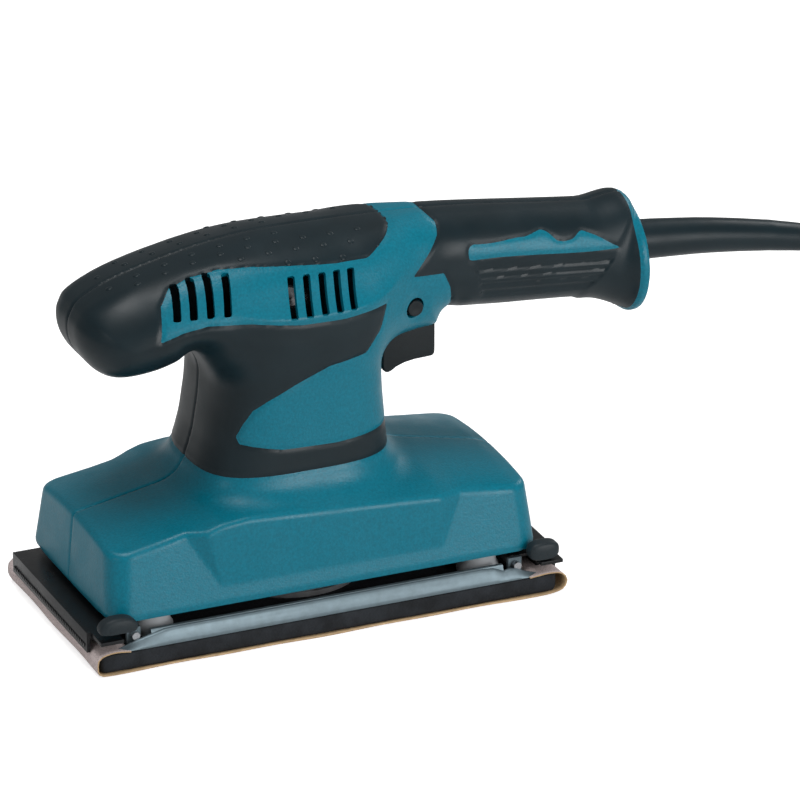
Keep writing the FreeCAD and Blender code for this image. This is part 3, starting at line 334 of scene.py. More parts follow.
def flangeField(x, y, z):
    ring = np.hypot(y, z - flange["height"]) - flange["radius"]
    return roundedBoth(ring, np.abs(x - flange["middle"]) - flange["half"], flange["round"])


def flareField(x, y, z):
    # the rear grip widens to meet the flange
    reach = flare["radius"] + flare["growth"] * np.clip((x - flare["start"]) / flare["length"], 0, 1) ** 2
    ring = (np.hypot(y, z - flange["height"]) - reach) * 0.9
    return roundedBoth(ring, np.abs(x - flare["middle"]) - flare["half"], 0.6)


def ribLines(x, z):
    # how far down the ribbed panel a point lies, from 0 at its top edge to 1
    top = 127.3 - 0.0973 * (x - 69.7)
    foot = 111.0 - 0.085 * (x - 74.7)
    return (top - z) / (top - foot)


def casingField(x, y, z):
    body = smoothMin(bodyField(x, y, z), neckField(x, y, z), skin["bodyBlend"])
    whole = smoothMin(body, skirtField(x, y, z), skin["collarBlend"])
    whole = smoothMin(whole, flareField(x, y, z), 4.0)
    whole = smoothMin(whole, flangeField(x, y, z), 0.8)
    whole = whole + skin["seamDepth"] * np.exp(-(y / skin["seamWidth"]) ** 2)
    reached = (z > groove["foot"]) & (x < groove["end"])
    for outline in (frontGrip, rearGrip):
        whole = whole + groove["depth"] * np.exp(-(outline(x, z) / groove["width"]) ** 2) * reached
    down = ribLines(x, z) * ribs["count"]
    nearest = np.abs(down - np.round(down)) * ribs["pitch"]
    lines = np.exp(-(nearest / ribs["width"]) ** 2) * ((down > 0.5) & (down < ribs["count"] - 0.5))
    grip = (x > 60) & (np.abs(y) > 6)
    whole = whole + np.where(grip, rise(-ribbed(x, z)) * (ribs["sink"] + ribs["depth"] * lines), 0)
    whole = whole + np.where(grip, 0.3 * np.exp(-(accent(x, z) / groove["width"]) ** 2), 0)
    dish = np.exp(-(np.hypot(x - buttonHole["x"], z - buttonHole["z"]) / 6.2) ** 6)
    return whole + 0.6 * dish * (np.abs(y) > 10)


def surfaceNet(field, low, high, step):
    axes = [np.arange(a, b + step, step) for a, b in zip(low, high)]
    values = np.empty([len(a) for a in axes])
    for i, x in enumerate(axes[0]):
        values[i] = field(*np.meshgrid([x], axes[1], axes[2], indexing="ij"))[0]
    inside = values < 0
    shape = [len(a) - 1 for a in axes]
    total, count = np.zeros(shape + [3]), np.zeros(shape)
    corners = [(i, j, k) for i in (0, 1) for j in (0, 1) for k in (0, 1)]

    def corner(block, c):
        return block[c[0]:c[0] + shape[0], c[1]:c[1] + shape[1], c[2]:c[2] + shape[2]]

    for a in corners:
        for axis in range(3):
            if a[axis]:
                continue
            b = tuple(v + (n == axis) for n, v in enumerate(a))
            va, vb = corner(values, a), corner(values, b)
            crossing = (va < 0) != (vb < 0)
            share = np.where(crossing, va / np.where(va == vb, 1, va - vb), 0)
            for n in range(3):
                total[..., n] += crossing * (a[n] + (share if n == axis else 0))
            count += crossing
    active = count > 0
    index = np.full(shape, -1)
    index[active] = np.arange(active.sum())
    cells = np.argwhere(active)
    verts = cells + total[active] / count[active][:, None]
    verts = verts * step + np.array([a[0] for a in axes])
    quads = []
    for axis in range(3):
        one, two = [n for n in range(3) if n != axis]
        lower = [slice(None)] * 3
        upper = [slice(None)] * 3
        lower[axis], upper[axis] = slice(0, -1), slice(1, None)
        change = inside[tuple(lower)] != inside[tuple(upper)]
        places = np.argwhere(change)
        places = places[(places[:, one] > 0) & (places[:, two] > 0) & (places[:, one] < shape[one])
                        & (places[:, two] < shape[two])]
        ring = []
        for du, dv in ((-1, -1), (0, -1), (0, 0), (-1, 0)):
            c = places.copy()
            c[:, one] += du
            c[:, two] += dv
            ring.append(index[c[:, 0], c[:, 1], c[:, 2]])
        ring = np.stack(ring, 1)
        flip = inside[places[:, 0], places[:, 1], places[:, 2]]
        if axis == 1:
            flip = ~flip
        ring[~flip] = ring[~flip][:, ::-1]
        quads.append(ring)
    quads = np.concatenate(quads)
    tris = np.concatenate([quads[:, [0, 1, 2]], quads[:, [0, 2, 3]]])
    return verts, tris


def gradient(field, verts, e=0.05):
    x, y, z = verts.T
    return np.stack([field(x + e, y, z) - field(x - e, y, z), field(x, y + e, z) - field(x, y - e, z),
                     field(x, y, z + e) - field(x, y, z - e)], 1) / (2 * e)


def settle(field, verts, turns):
    # moves each corner along the slope, onto the surface
    for _ in range(turns):
        value, slope = field(*verts.T), gradient(field, verts)
        move = slope * (value / np.maximum((slope ** 2).sum(1), 0.2))[:, None]
        length = np.linalg.norm(move, axis=1, keepdims=True)
        verts = verts - move * np.minimum(1, 0.8 / np.maximum(length, 1e-9))
    return verts


def relax(field, verts, tris, turns):
    # evens the spacing of the corners and keeps them on the surface
    pairs = np.concatenate([tris[:, [0, 1]], tris[:, [1, 2]], tris[:, [2, 0]]])
    pairs = np.concatenate([pairs, pairs[:, ::-1]])
    count = np.bincount(pairs[:, 0], minlength=len(verts))
    for _ in range(turns):
        mean = np.stack([np.bincount(pairs[:, 0], verts[pairs[:, 1], n], len(verts)) for n in range(3)], 1)
        verts = settle(field, verts + 0.5 * (mean / np.maximum(count, 1)[:, None] - verts), 1)
    return settle(field, verts, 2)


def split(verts, tris, owner, function, snap, locked):
    # cuts triangles along function = 0 and returns the side each one lies on
    value, slope = function(*verts.T), gradient(function, verts)
    near = (np.abs(value) < snap) & ~locked
    size = (slope ** 2).sum(1)
    near &= size > 0.3
    verts = verts.copy()
    verts[near] -= slope[near] * (value[near] / size[near])[:, None]
    value[near] = 0
    value[np.abs(value) < 1e-4] = 0
    locked = locked | near
    side = np.sign(value).astype(int)
    mixed = (side[tris].min(1) < 0) & (side[tris].max(1) > 0)
    keep, cut = tris[~mixed], tris[mixed]
    keepSide = np.where(side[keep].sum(1) < 0, -1, 1)
    keepOwner, cutOwner = owner[~mixed], owner[mixed]
    edges, points = {}, []

    def middle(a, b):
        key = (min(a, b), max(a, b))
        if key not in edges:
            share = value[a] / (value[a] - value[b])
            edges[key] = len(verts) + len(points)
            points.append(verts[a] + share * (verts[b] - verts[a]))
        return edges[key]

    # a starts at the corner on the line, or else at the one that is alone on its side
    made, madeSide, madeOwner = [], [], []
    for tri, own in zip(cut, cutOwner):
        signs = side[tri]
        a, b, c = np.roll(tri, -int(np.where(signs == (0 if 0 in signs else -signs.sum()))[0][0]))
        if 0 in signs:
            m = middle(b, c)
            shares = {(a, b, m): b, (a, m, c): c}
        else:
            m, n = middle(a, b), middle(c, a)
            shares = {(a, m, n): a, (m, b, c): b, (m, c, n): b}
        made += shares.keys()
        madeSide += [side[corner] for corner in shares.values()]
        madeOwner += [own] * len(shares)
    tris = np.concatenate([keep, np.array(made, int).reshape(-1, 3)])
    sides = np.concatenate([keepSide, np.array(madeSide, int)])
    owner = np.concatenate([keepOwner, np.array(madeOwner, int)])
    locked = np.concatenate([locked, np.ones(len(points), bool)])
    verts = np.concatenate([verts, np.array(points, float).reshape(-1, 3)])
    return verts, tris, owner, sides, locked


def slotField(x, y, z):
    nearest = np.full(x.shape, 1e3)
    for group in (frontSlots, rearSlots):
        for (tx, tz), (fx, fz) in zip(group["tops"], group["feet"]):
            lean = (tx - fx) / (tz - fz)
            across = np.abs(x - fx - lean * (z - fz)) - slotHalfWidth
            along = np.maximum(fz - z, z - tz)
            nearest = np.minimum(nearest, roundedBoth(across, along, 0.5))
    return np.where(np.abs(y) > 8, nearest, 5.0)


def buttonField(x, y, z):
    hole = np.hypot(x - buttonHole["x"], z - buttonHole["z"]) - buttonHole["radius"]
    return np.where(np.abs(y) > 10, hole, 5.0)


def triggerField(x, y, z):
    sides = np.maximum(np.abs(y) - triggerSlot["halfY"], np.abs(z - triggerSlot["z"]) - triggerSlot["halfZ"])
    return np.maximum(np.abs(x - triggerSlot["x"]) - triggerSlot["halfX"], sides)


def wellField(x, y, z):
    nearest = np.min([np.hypot(x - px, z - pz) for px, pz in wells["places"]], axis=0)
    return np.where(np.abs(y) > 8, nearest - wells["radius"] - 0.1, 5.0)


def meshCasing():
    step = skin["step"]
    verts, tris = surfaceNet(casingField, skin["low"], skin["high"], step)
    print("casing surface", len(tris), "triangles")
    verts = relax(casingField, verts, tris, 4)
    owner = np.zeros(len(tris), int)
    locked = np.zeros(len(verts), bool)
    snap = 0.3 * step

    def carve(function, keepInside=True):
        nonlocal verts, tris, owner, locked
        verts, tris, owner, sides, locked = split(verts, tris, owner, function, snap, locked)
        keep = sides < 0 if keepInside else sides > 0
        tris, owner = tris[keep], owner[keep]

    def mark(function, start, end):
        nonlocal verts, tris, owner, locked
        verts, tris, owner, sides, locked = split(verts, tris, owner, function, snap, locked)
        owner = np.where((owner == start) & (sides < 0), end, owner)

    # the seam's half is kept, from a copy of y because split writes to what it gets
    carve(lambda x, y, z: y.copy())
    carve(lambda x, y, z: skin["foot"] - z)
    mark(lambda x, y, z: frontGrip(x, z), 0, 1)
    mark(lambda x, y, z: rearGrip(x, z), 0, 2)
    mark(lambda x, y, z: np.where(np.abs(y) > 3, accent(x, z), 5), 2, 0)
    carve(slotField, False)
    carve(triggerField, False)
    shared, halves = (verts, tris, owner, locked), {}
    for side, opening in (("left", buttonField), ("right", wellField)):
        verts, tris, owner, locked = shared
        carve(opening, False)
        halves[side] = verts, tris, owner
    return halves


casingNames = ("housing", "front_grip", "rear_grip")


def cleanSurface(verts, tris):
    # merges slivers that the cuts leave along an outline
    work = bmesh.new()
    made = [work.verts.new(v) for v in verts]
    for tri in tris:
        try:
            work.faces.new([made[i] for i in tri])
        except ValueError:
            continue
    bmesh.ops.dissolve_degenerate(work, dist=0.06, edges=work.edges[:])
    bmesh.ops.triangulate(work, faces=work.faces[:])
    work.verts.index_update()
    verts = np.array([v.co for v in work.verts])
    tris = np.array([[v.index for v in f.verts] for f in work.faces])
    work.free()
    return verts, tris


def wallOf(verts, tris):
    # the inner face lies a wall's thickness inside the outer one, and a rim joins them
    inward = gradient(casingField, verts, 0.6)
    inward /= np.linalg.norm(inward, axis=1)[:, None]
    n = len(verts)
    a, b = tris.ravel(), np.roll(tris, -1, 1).ravel()
    rim = ~np.isin(a * n + b, b * n + a)
    a, b = a[rim], b[rim]
    rims = np.concatenate([np.stack([b, a, a + n], 1), np.stack([b, a + n, b + n], 1)])
    return np.concatenate([verts, verts - inward * skin["thickness"]]), np.concatenate(
        [tris, tris[:, ::-1] + n, rims])


def makeCasing():
    pieces = {}
    for side, (verts, tris, owner) in meshCasing().items():
        sign = 1 if side == "left" else -1
        for number, name in enumerate(casingNames):
            used, inverse = np.unique(tris[owner == number], return_inverse=True)
            wall, faces = wallOf(*cleanSurface(verts[used], inverse.reshape(-1, 3)))
            obj = meshObject(name + "_" + side + "_skin", wall * (1, sign, 1), faces[:, ::sign])
            pieces[name + "_" + side] = crease(obj, 38)
    return pieces


casing = makeCasing()
for node, obj in casing.items():
    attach(obj, "housing")
    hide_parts(node)
print("casing made", {k: len(o.data.polygons) for k, o in casing.items()})


def addNode(tree, kind, values=None, sources=None):
    # a node with the values of its inputs and the outputs that feed them
    node = tree.nodes.new(kind)
    for label, value in (values or {}).items():
        node.inputs[label].default_value = value
    for label, source in (sources or {}).items():
        tree.links.new(source, node.inputs[label])
    return node


def feed(material, source, label):
    shader = material.node_tree.nodes["Principled BSDF"]
    material.node_tree.links.new(source, shader.inputs[label])


def finish(name, colour, rough, metal=0.0, specular=0.5):
    material = bpy.data.materials.new(name)
    material.use_nodes = True
    shader = material.node_tree.nodes["Principled BSDF"]
    for label, value in (("Base Color", (*colour, 1)), ("Roughness", rough), ("Metallic", metal),
                         ("Specular IOR Level", specular)):
        shader.inputs[label].default_value = value
    return material


def place(material, stretch=None):
    where = addNode(material.node_tree, "ShaderNodeTexCoord").outputs["Object"]
    if not stretch:
        return where
    mapping = addNode(material.node_tree, "ShaderNodeMapping", {"Scale": stretch}, {"Vector": where})
    return mapping.outputs["Vector"]


def noise(material, scale, detail=3, where=None):
    values = {"Scale": scale, "Detail": detail, "Roughness": 0.55}
    sources = {"Vector": where or place(material)}
    return addNode(material.node_tree, "ShaderNodeTexNoise", values, sources).outputs["Fac"]


def cells(material, scale):
    sources = {"Vector": place(material)}
    return addNode(material.node_tree, "ShaderNodeTexVoronoi", {"Scale": scale}, sources).outputs["Distance"]


def colourRamp(material, source, dark, light, start, end):
    ramp = addNode(material.node_tree, "ShaderNodeValToRGB", sources={"Fac": source})
    for element, spot, colour in zip(ramp.color_ramp.elements, (start, end), (dark, light)):
        element.position, element.color = spot, (*colour, 1)
    return ramp.outputs["Color"]


def tint(material, source, dark, light, start=0.35, end=0.65):
    feed(material, colourRamp(material, source, dark, light, start, end), "Base Color")


def roughness(material, source, low, high):
    values = {"From Min": 0.35, "From Max": 0.65, "To Min": low, "To Max": high}
    spread = addNode(material.node_tree, "ShaderNodeMapRange", values, {"Value": source})
    feed(material, spread.outputs["Result"], "Roughness")


def relief(material, *layers):
    # each layer is a height, its strength and its depth, on top of the one before
    normal = None
    for source, strength, depth in layers:
        sources = {"Height": source, "Normal": normal} if normal else {"Height": source}
        values = {"Strength": strength, "Distance": depth}
        normal = addNode(material.node_tree, "ShaderNodeBump", values, sources).outputs["Normal"]
    feed(material, normal, "Normal")


def shade(colour, by):
    return tuple(min(c * by, 1) for c in colour)


def mouldedPlastic(name, colour, rough=0.42, grain=1500, depth=0.00012, strength=0.35):
    material = finish(name, colour, rough, specular=0.26)
    fine = noise(material, grain, 2)
    tint(material, noise(material, grain * 0.8, 3), shade(colour, 0.88), shade(colour, 1.14), 0.3, 0.7)
    roughness(material, noise(material, 60, 4), rough - 0.05, rough + 0.07)
    relief(material, (fine, strength, depth), (noise(material, 45, 3), 0.10, 0.0006))
    return material


def gripRubber(name, colour, rough=0.5, grain=2600):
    material = finish(name, colour, rough, specular=0.25)
    tint(material, noise(material, 55, 5), shade(colour, 0.85), shade(colour, 1.2), 0.3, 0.75)
    roughness(material, noise(material, 38, 5), rough - 0.07, rough + 0.08)
    relief(material, (noise(material, grain, 2), 0.22, 0.00008), (noise(material, 70, 3), 0.08, 0.0005))
    return material


def sheetMetal(name, colour, rough=0.32, metal=0.9):
    material = finish(name, colour, rough, metal)
    streaks = noise(material, 40, 6, place(material, (0.25, 6, 6)))
    spangle = noise(material, 300, 3)
    tint(material, spangle, shade(colour, 0.9), shade(colour, 1.08), 0.3, 0.7)
    roughness(material, streaks, rough - 0.05, rough + 0.08)
    relief(material, (noise(material, 900, 3), 0.10, 0.00008), (streaks, 0.10, 0.0002))
    return material


def turnedMetal(name, colour, rough=0.28, metal=0.95):
    material = finish(name, colour, rough, metal)
    rings = noise(material, 120, 5, place(material, (1, 1, 14)))
    tint(material, noise(material, 80, 4), shade(colour, 0.85), shade(colour, 1.1))
    roughness(material, rings, rough - 0.08, rough + 0.12)
    relief(material, (rings, 0.12, 0.0001))
    return material


def foamPad(name, colour):
    material = finish(name, colour, 0.78, specular=0.25)
    pores = cells(material, 900)
    tint(material, noise(material, 120, 5), shade(colour, 0.7), shade(colour, 1.5))
    relief(material, (pores, 0.5, 0.0003), (noise(material, 160, 4), 0.25, 0.0006))
    return material


def abrasivePaper(name, backing, grit):
    material = finish(name, backing, 0.85, specular=0.2)
    tree = material.node_tree
    speckle = cells(material, 1700)
    fibres = noise(material, 420, 6, place(material, (1, 3, 3)))
    back = colourRamp(material, fibres, shade(backing, 0.72), shade(backing, 1.15), 0.3, 0.7)
    front = colourRamp(material, speckle, shade(grit, 0.6), shade(grit, 1.25), 0.05, 0.5)
    face = addNode(tree, "ShaderNodeAttribute")
    face.attribute_name = "gritFace"
    mix = addNode(tree, "ShaderNodeMix")
    mix.data_type = "RGBA"
    for label, source in (("Factor", face.outputs["Fac"]), ("A", back), ("B", front)):
        tree.links.new(source, mix.inputs[label])
    feed(material, mix.outputs["Result"], "Base Color")
    relief(material, (speckle, 0.5, 0.00025), (fibres, 0.2, 0.0002))
    return material


tealColour, rubberColour = (0.0, 0.142, 0.205), (0.0058, 0.0145, 0.0190)
finishes = {
    "teal": mouldedPlastic("teal housing plastic", tealColour, 0.34, 1300, 0.00016, 0.5),
    "rubber": gripRubber("black grip rubber", rubberColour, 0.38),
    "lead": gripRubber("black lead rubber", (0.008, 0.0145, 0.018), 0.42, 1800),
    "trigger": mouldedPlastic("black switch plastic", (0.005, 0.009, 0.011), 0.36, 1700),
    "inner plastic": mouldedPlastic("dark inner plastic", (0.02, 0.021, 0.023), 0.5, 1200),
    "cap": mouldedPlastic("dark grey lever plastic", (0.012, 0.019, 0.023), 0.48, 1400),
    "zinc": sheetMetal("zinc plated sheet", (0.150, 0.200, 0.225), 0.50, 0.62),
    "black steel": mouldedPlastic("black coated steel", (0.008, 0.009, 0.01), 0.3, 900),
    "steel": turnedMetal("machined steel", (0.42, 0.43, 0.45)),
    "screw": turnedMetal("zinc screw", (0.55, 0.55, 0.53), 0.3),
    "casing screw": turnedMetal("black casing screw", (0.05, 0.051, 0.055), 0.42),
    "spring": turnedMetal("spring steel", (0.36, 0.37, 0.39), 0.3),
    "bearing": turnedMetal("bearing steel", (0.55, 0.56, 0.58), 0.2),
    "cast": sheetMetal("cast aluminium", (0.5, 0.51, 0.53), 0.5, 0.8),
    "lamination": sheetMetal("lamination steel", (0.25, 0.26, 0.28), 0.5, 0.8),
    "copper": turnedMetal("enamelled copper", (0.48, 0.19, 0.07), 0.35, 0.85),
    "brass": turnedMetal("plug pin metal", (0.72, 0.68, 0.58), 0.22),
    "carbon": mouldedPlastic("brush carbon", (0.02, 0.02, 0.022), 0.6, 2500),
    "foot": gripRubber("pale foot rubber", (0.42, 0.44, 0.46), 0.5),
    "foam": foamPad("black foam", (0.012, 0.014, 0.017)),
    "paper": abrasivePaper("sandpaper", (0.50, 0.35, 0.20), (0.52, 0.44, 0.43)),
    "film": mouldedPlastic("capacitor film", (0.55, 0.42, 0.12), 0.4, 1300),
}

nodeFinishes = {
    "steel": ["armature_shaft", "shaft_spacer", "clamp_pins", "counterweight"],
    "casing screw": ["housing_screws"],
    "screw": ["plate_screws", "cord_clip_screws", "bearing_box_screws", "foot_screws"],
    "spring": ["brush_spring_left", "brush_spring_right", "trigger_spring", "lock_spring",
               "front_clamp_spring", "rear_clamp_spring"],
    "bearing": ["main_bearing_inner", "main_bearing_outer", "top_bearing_inner", "top_bearing_outer",
                "pad_bearing_inner", "pad_bearing_outer"],
    "cast": ["bearing_box"], "zinc": ["base_plate", "bearing_retainer"],
    "lamination": ["stator_core", "armature_core"],
    "copper": ["stator_coils", "armature_windings", "commutator", "supply_wires"],
    "brass": ["plug_pins", "brush_holders"], "carbon": ["carbon_brush_left", "carbon_brush_right"],
    "inner plastic": ["fan", "baffle_plate", "switch_body", "cord_clip", "trigger", "lock_button"],
    "rubber": ["top_bearing_boot"], "lead": ["inner_lead"], "film": ["capacitor"],
    "black steel": ["front_clamp", "rear_clamp"],
}


def dress(obj, finishName):
    obj.data.materials.clear()
    obj.data.materials.append(finishes[finishName])
    return obj


for finishName, names in nodeFinishes.items():
    for name in names:
        dress(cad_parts[name], finishName)
for node, obj in casing.items():
    dress(obj, "teal" if "housing" in node else "rubber")
dress(cordPiece, "lead")
print("finishes made")


def rework(obj, change):
    # merges the corners that lie together, then makes the change
    work = bmesh.new()
    work.from_mesh(obj.data)
    bmesh.ops.remove_doubles(work, verts=work.verts, dist=1e-6)
    change(work)
    work.to_mesh(obj.data)
    work.free()
    return obj


def closeUp(obj):
    return rework(obj, lambda work: bmesh.ops.recalc_face_normals(work, faces=work.faces))


def bandFaces(a, b, count):
    # between two closed rings of vertices that start at a and b
    return [(a + k, a + (k + 1) % count, b + (k + 1) % count, b + k) for k in range(count)]


def gridFaces(rows, columns):
    return [(r * columns + c, r * columns + c + 1, (r + 1) * columns + c + 1, (r + 1) * columns + c)
            for r in range(rows - 1) for c in range(columns - 1)]


def circle(count):
    return np.arange(count) * 2 * math.pi / count


def ringsObject(name, rings, caps=True):
    # joins rings of equal counts into one skin, with a fan over each end
    count = len(rings[0])
    verts = [p for ring in rings for p in ring]
    faces = [face for i in range(len(rings) - 1) for face in bandFaces(i * count, (i + 1) * count, count)]
    if caps:
        for start, ring in ((0, rings[0]), ((len(rings) - 1) * count, rings[-1])):
            verts.append(tuple(sum(c) / count for c in zip(*ring)))
            middle = len(verts) - 1
            faces += [(start + k, start + (k + 1) % count, middle) for k in range(count)]
    return closeUp(meshObject(name, verts, faces))


def soften(obj, bevel, segments, angle):
    soft = obj.modifiers.new("soft edges", "BEVEL")
    soft.width, soft.segments, soft.limit_method = bevel * mm, segments, "ANGLE"
    soft.angle_limit = math.radians(angle)
    return crease(applyModifiers(obj), 40)


def thicken(obj, thickness, offset):
    wall = obj.modifiers.new("wall", "SOLIDIFY")
    wall.thickness, wall.offset = thickness * mm, offset
    return closeUp(applyModifiers(obj))


def roundedRing(a, b, power, count):
    # around a rectangle of half sizes a and b with rounded corners
    return [(a * math.copysign(abs(math.cos(t)) ** power, math.cos(t)),
             b * math.copysign(abs(math.sin(t)) ** power, math.sin(t))) for t in circle(count)]


def tubeObject(name, spots, radii, around):
    spots = [Vector(p) for p in spots]
    rings = []
    for i, spot in enumerate(spots):
        heading = (spots[min(i + 1, len(spots) - 1)] - spots[max(i - 1, 0)]).normalized()
        side = heading.cross(Vector((0, 1, 0))).normalized()
        up = side.cross(heading).normalized()
        rings.append([tuple(spot + (side * math.cos(t) + up * math.sin(t)) * radii[i])
                      for t in circle(around)])
    return ringsObject(name, rings)


def latheRings(outline, centre, axis="Z", around=40):
    rings = []
    for radius, height in outline:
        spots = [(radius * math.cos(t), radius * math.sin(t)) for t in circle(around)]
        local = [(u, v, height) if axis == "Z" else (u, height, v) for u, v in spots]
        rings.append([tuple(c + l for c, l in zip(centre, spot)) for spot in local])
    return rings


def extruded(name, outline, y0, y1, bevel, segments):
    # a closed outline in x and z, drawn along y, with softened edges
    n = len(outline)
    verts = [(x, y0, z) for x, z in outline] + [(x, y1, z) for x, z in outline]
    faces = [tuple(range(n)), tuple(range(2 * n - 1, n - 1, -1))]
    faces += [(i, (i + 1) % n, n + (i + 1) % n, n + i) for i in range(n)]
    return soften(closeUp(meshObject(name, verts, faces)), bevel, segments, 25)


def settleOn(obj, body, nodes=(), finishName=None):
    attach(obj, body)
    if nodes:
        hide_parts(*nodes)
    if finishName:
        dress(obj, finishName)
    return obj


def pointsObject(name, spots, normals):
    mesh = bpy.data.meshes.new(name)
    mesh.from_pydata([tuple(c * mm for c in s) for s in spots], [], [])
    facing = mesh.attributes.new("facing", "FLOAT_VECTOR", "POINT")
    facing.data.foreach_set("vector", np.array(normals, float).ravel())
    return addObject(name, mesh)


def scatterTree(name, finishName):
    # a flattened ball on each point, turned to the way that the point faces
    tree = bpy.data.node_groups.new(name, "GeometryNodeTree")
    for label, way, kind in (("Geometry", "INPUT", "Geometry"), ("Radius", "INPUT", "Float"),
                             ("Height", "INPUT", "Float"), ("Geometry", "OUTPUT", "Geometry")):
        tree.interface.new_socket(label, in_out=way, socket_type="NodeSocket" + kind)
    source = addNode(tree, "NodeGroupInput").outputs
    ball = addNode(tree, "GeometryNodeMeshUVSphere", {"Segments": 16, "Rings": 10},
                   {"Radius": source["Radius"]})
    ratio = addNode(tree, "ShaderNodeMath", sources={0: source["Height"], 1: source["Radius"]})
    ratio.operation = "DIVIDE"
    flatten = addNode(tree, "ShaderNodeCombineXYZ", {"X": 1, "Y": 1}, {"Z": ratio.outputs[0]})
    shape = addNode(tree, "GeometryNodeTransform",
                    sources={"Geometry": ball.outputs["Mesh"], "Scale": flatten.outputs[0]})
    facing = addNode(tree, "GeometryNodeInputNamedAttribute", {"Name": "facing"})
    facing.data_type = "FLOAT_VECTOR"
    turn = addNode(tree, "FunctionNodeAlignRotationToVector", sources={"Vector": facing.outputs["Attribute"]})
    turn.axis = "Z"
    copies = addNode(tree, "GeometryNodeInstanceOnPoints",
                     sources={"Points": source["Geometry"], "Instance": shape.outputs["Geometry"],
                              "Rotation": turn.outputs["Rotation"]})
    real = addNode(tree, "GeometryNodeRealizeInstances", sources={"Geometry": copies.outputs["Instances"]})
    paint = addNode(tree, "GeometryNodeSetMaterial", {"Material": finishes[finishName]},
                    {"Geometry": real.outputs["Geometry"]})
    addNode(tree, "NodeGroupOutput", sources={"Geometry": paint.outputs["Geometry"]})
    return tree


def runTree(obj, tree, **sizes):
    modifier = obj.modifiers.new("detail", "NODES")
    modifier.node_group = tree
    for item in tree.interface.items_tree:
        if item.item_type == "SOCKET" and item.in_out == "INPUT" and item.name in sizes:
            modifier[item.identifier] = sizes[item.name]
    applyModifiers(obj)
    obj.data.polygons.foreach_set("use_smooth", [True] * len(obj.data.polygons))
    return obj

dots = {"radius": 1.3, "height": 0.42, "pitch": 10.9, "sunk": 0.08,
        "rows": [(6.0, -5.6, 7), (11.5, 25.3, 9), (17.0, 20.3, 5), (22.0, 15.1, 3)]}


def lastInside(field, low, high):
    # halves the stretch from low, inside, to high, outside, until they meet
    for _ in range(40):
        middle = (high + low) / 2
        outside = field(middle) > 0
        high, low = np.where(outside, middle, high), np.where(outside, low, middle)
    return low


def makeDots():
    tree = scatterTree("grip dots", "rubber")
    for side, sign in (("left", -1), ("right", 1)):
        x, y = np.array([(start - k * dots["pitch"], sign * offset)
                         for offset, start, count in dots["rows"] for k in range(count)]).T
        top = lastInside(lambda z: casingField(x, y, z), np.full(len(x), 118.0), np.full(len(x), 152.0))
        spots = np.stack([x, y, top - dots["sunk"]], 1)
        normals = gradient(casingField, spots, 0.3)
        obj = pointsObject("grip_dots_" + side, spots, normals)
        runTree(obj, tree, Radius=dots["radius"] * mm, Height=dots["height"] * mm)
        settleOn(obj, "housing")


makeDots()
print("dots made")

# the paper's half outlines in x and z, from the sanding face round to the clamps
paper = {"width": 94.4, "steps": 120, "across": 44, "thickness": 0.5, "edge": 42.5, "edgeReach": 5,
         "rear": [(0, 0.28), (60, 0.28), (82, 0.3), (89.5, 0.5), (93.6, 1.6), (95.6, 4.4), (94.9, 7.2),
                  (92.4, 8.8), (88.0, 9.2), (84, 9.0), (80.5, 8.6)],
         "front": [(60, 0.28), (82, 0.28), (90.8, 0.4), (92.7, 1.1), (93.4, 2.8), (93.5, 5.6), (92.9, 7.6),
                   (90.6, 8.9), (86, 9.4), (80.5, 8.7)]}


def smoothLine(points, steps):
    # an open curve through the points
    points = np.array(points, float)
    ends = np.concatenate([[2 * points[0] - points[1]], points, [2 * points[-1] - points[-2]]])
    loop = smoothLoop(ends, steps)
    return loop[steps:(len(points)) * steps + 1]


def makePaper():
    front = np.array(paper["front"], float)[::-1] * (-1, 1)
    fine = smoothLine(np.concatenate([front, paper["rear"]]), 10)
    lengths = np.concatenate([[0], np.cumsum(np.linalg.norm(np.diff(fine, axis=0), axis=1))])
    at = np.linspace(0, lengths[-1], paper["steps"])
    line = np.stack([np.interp(at, lengths, fine[:, n]) for n in (0, 1)], 1)
    tangent = np.gradient(line, axis=0)
    outward = np.stack([tangent[:, 1], -tangent[:, 0]], 1)
    outward /= np.linalg.norm(outward, axis=1)[:, None]
    rows = np.linspace(-1, 1, paper["across"])
    verts = []
    under = np.clip((2.5 - line[:, 1]) / 2, 0, 1)
    for share in rows:
        y = share * paper["width"] / 2
        edge = np.clip((abs(y) - paper["edge"]) / paper["edgeReach"], 0, 1) ** 2
        wave = 0.5 + 0.5 * np.sin(line[:, 0] * 0.11 + 1.3 * np.sign(y)) * np.cos(line[:, 0] * 0.043)
        lift = edge * under * (0.1 + 0.6 * wave)
        bulge = (1 - under) * 0.35 * np.cos(y * 0.13)
        for (x, z), (ox, oz), up, out in zip(line, outward, lift, bulge):
            verts.append((x + ox * out, y, max(z + oz * out + up, 0.02)))
    obj = meshObject("sandpaper_sheet", verts, gridFaces(len(rows), len(line)))
    thicken(obj, paper["thickness"], 1)
    mesh = obj.data
    grit = mesh.attributes.new("gritFace", "FLOAT", "FACE")
    values = []
    for polygon in mesh.polygons:
        c = polygon.center / mm
        inner = Vector((c.x, 0, c.z)) - Vector((max(min(c.x, 88), -88), 0, 4.6))
        values.append(1.0 if polygon.normal.dot(inner) > 0.02 * inner.length else 0.0)
    grit.data.foreach_set("value", values)
    low = min(v.co.z for v in mesh.vertices)
    if low < 0:
        for v in mesh.vertices:
            v.co.z -= low if v.co.z < 0.0012 else 0
    settleOn(obj, "base", ["sandpaper"], "paper")
    return obj, (paper["width"] * mm, round(float(lengths[-1]) * mm, 4))


sheetPiece, sheetFlat = makePaper()
print("sheet lies flat at", sheetFlat)

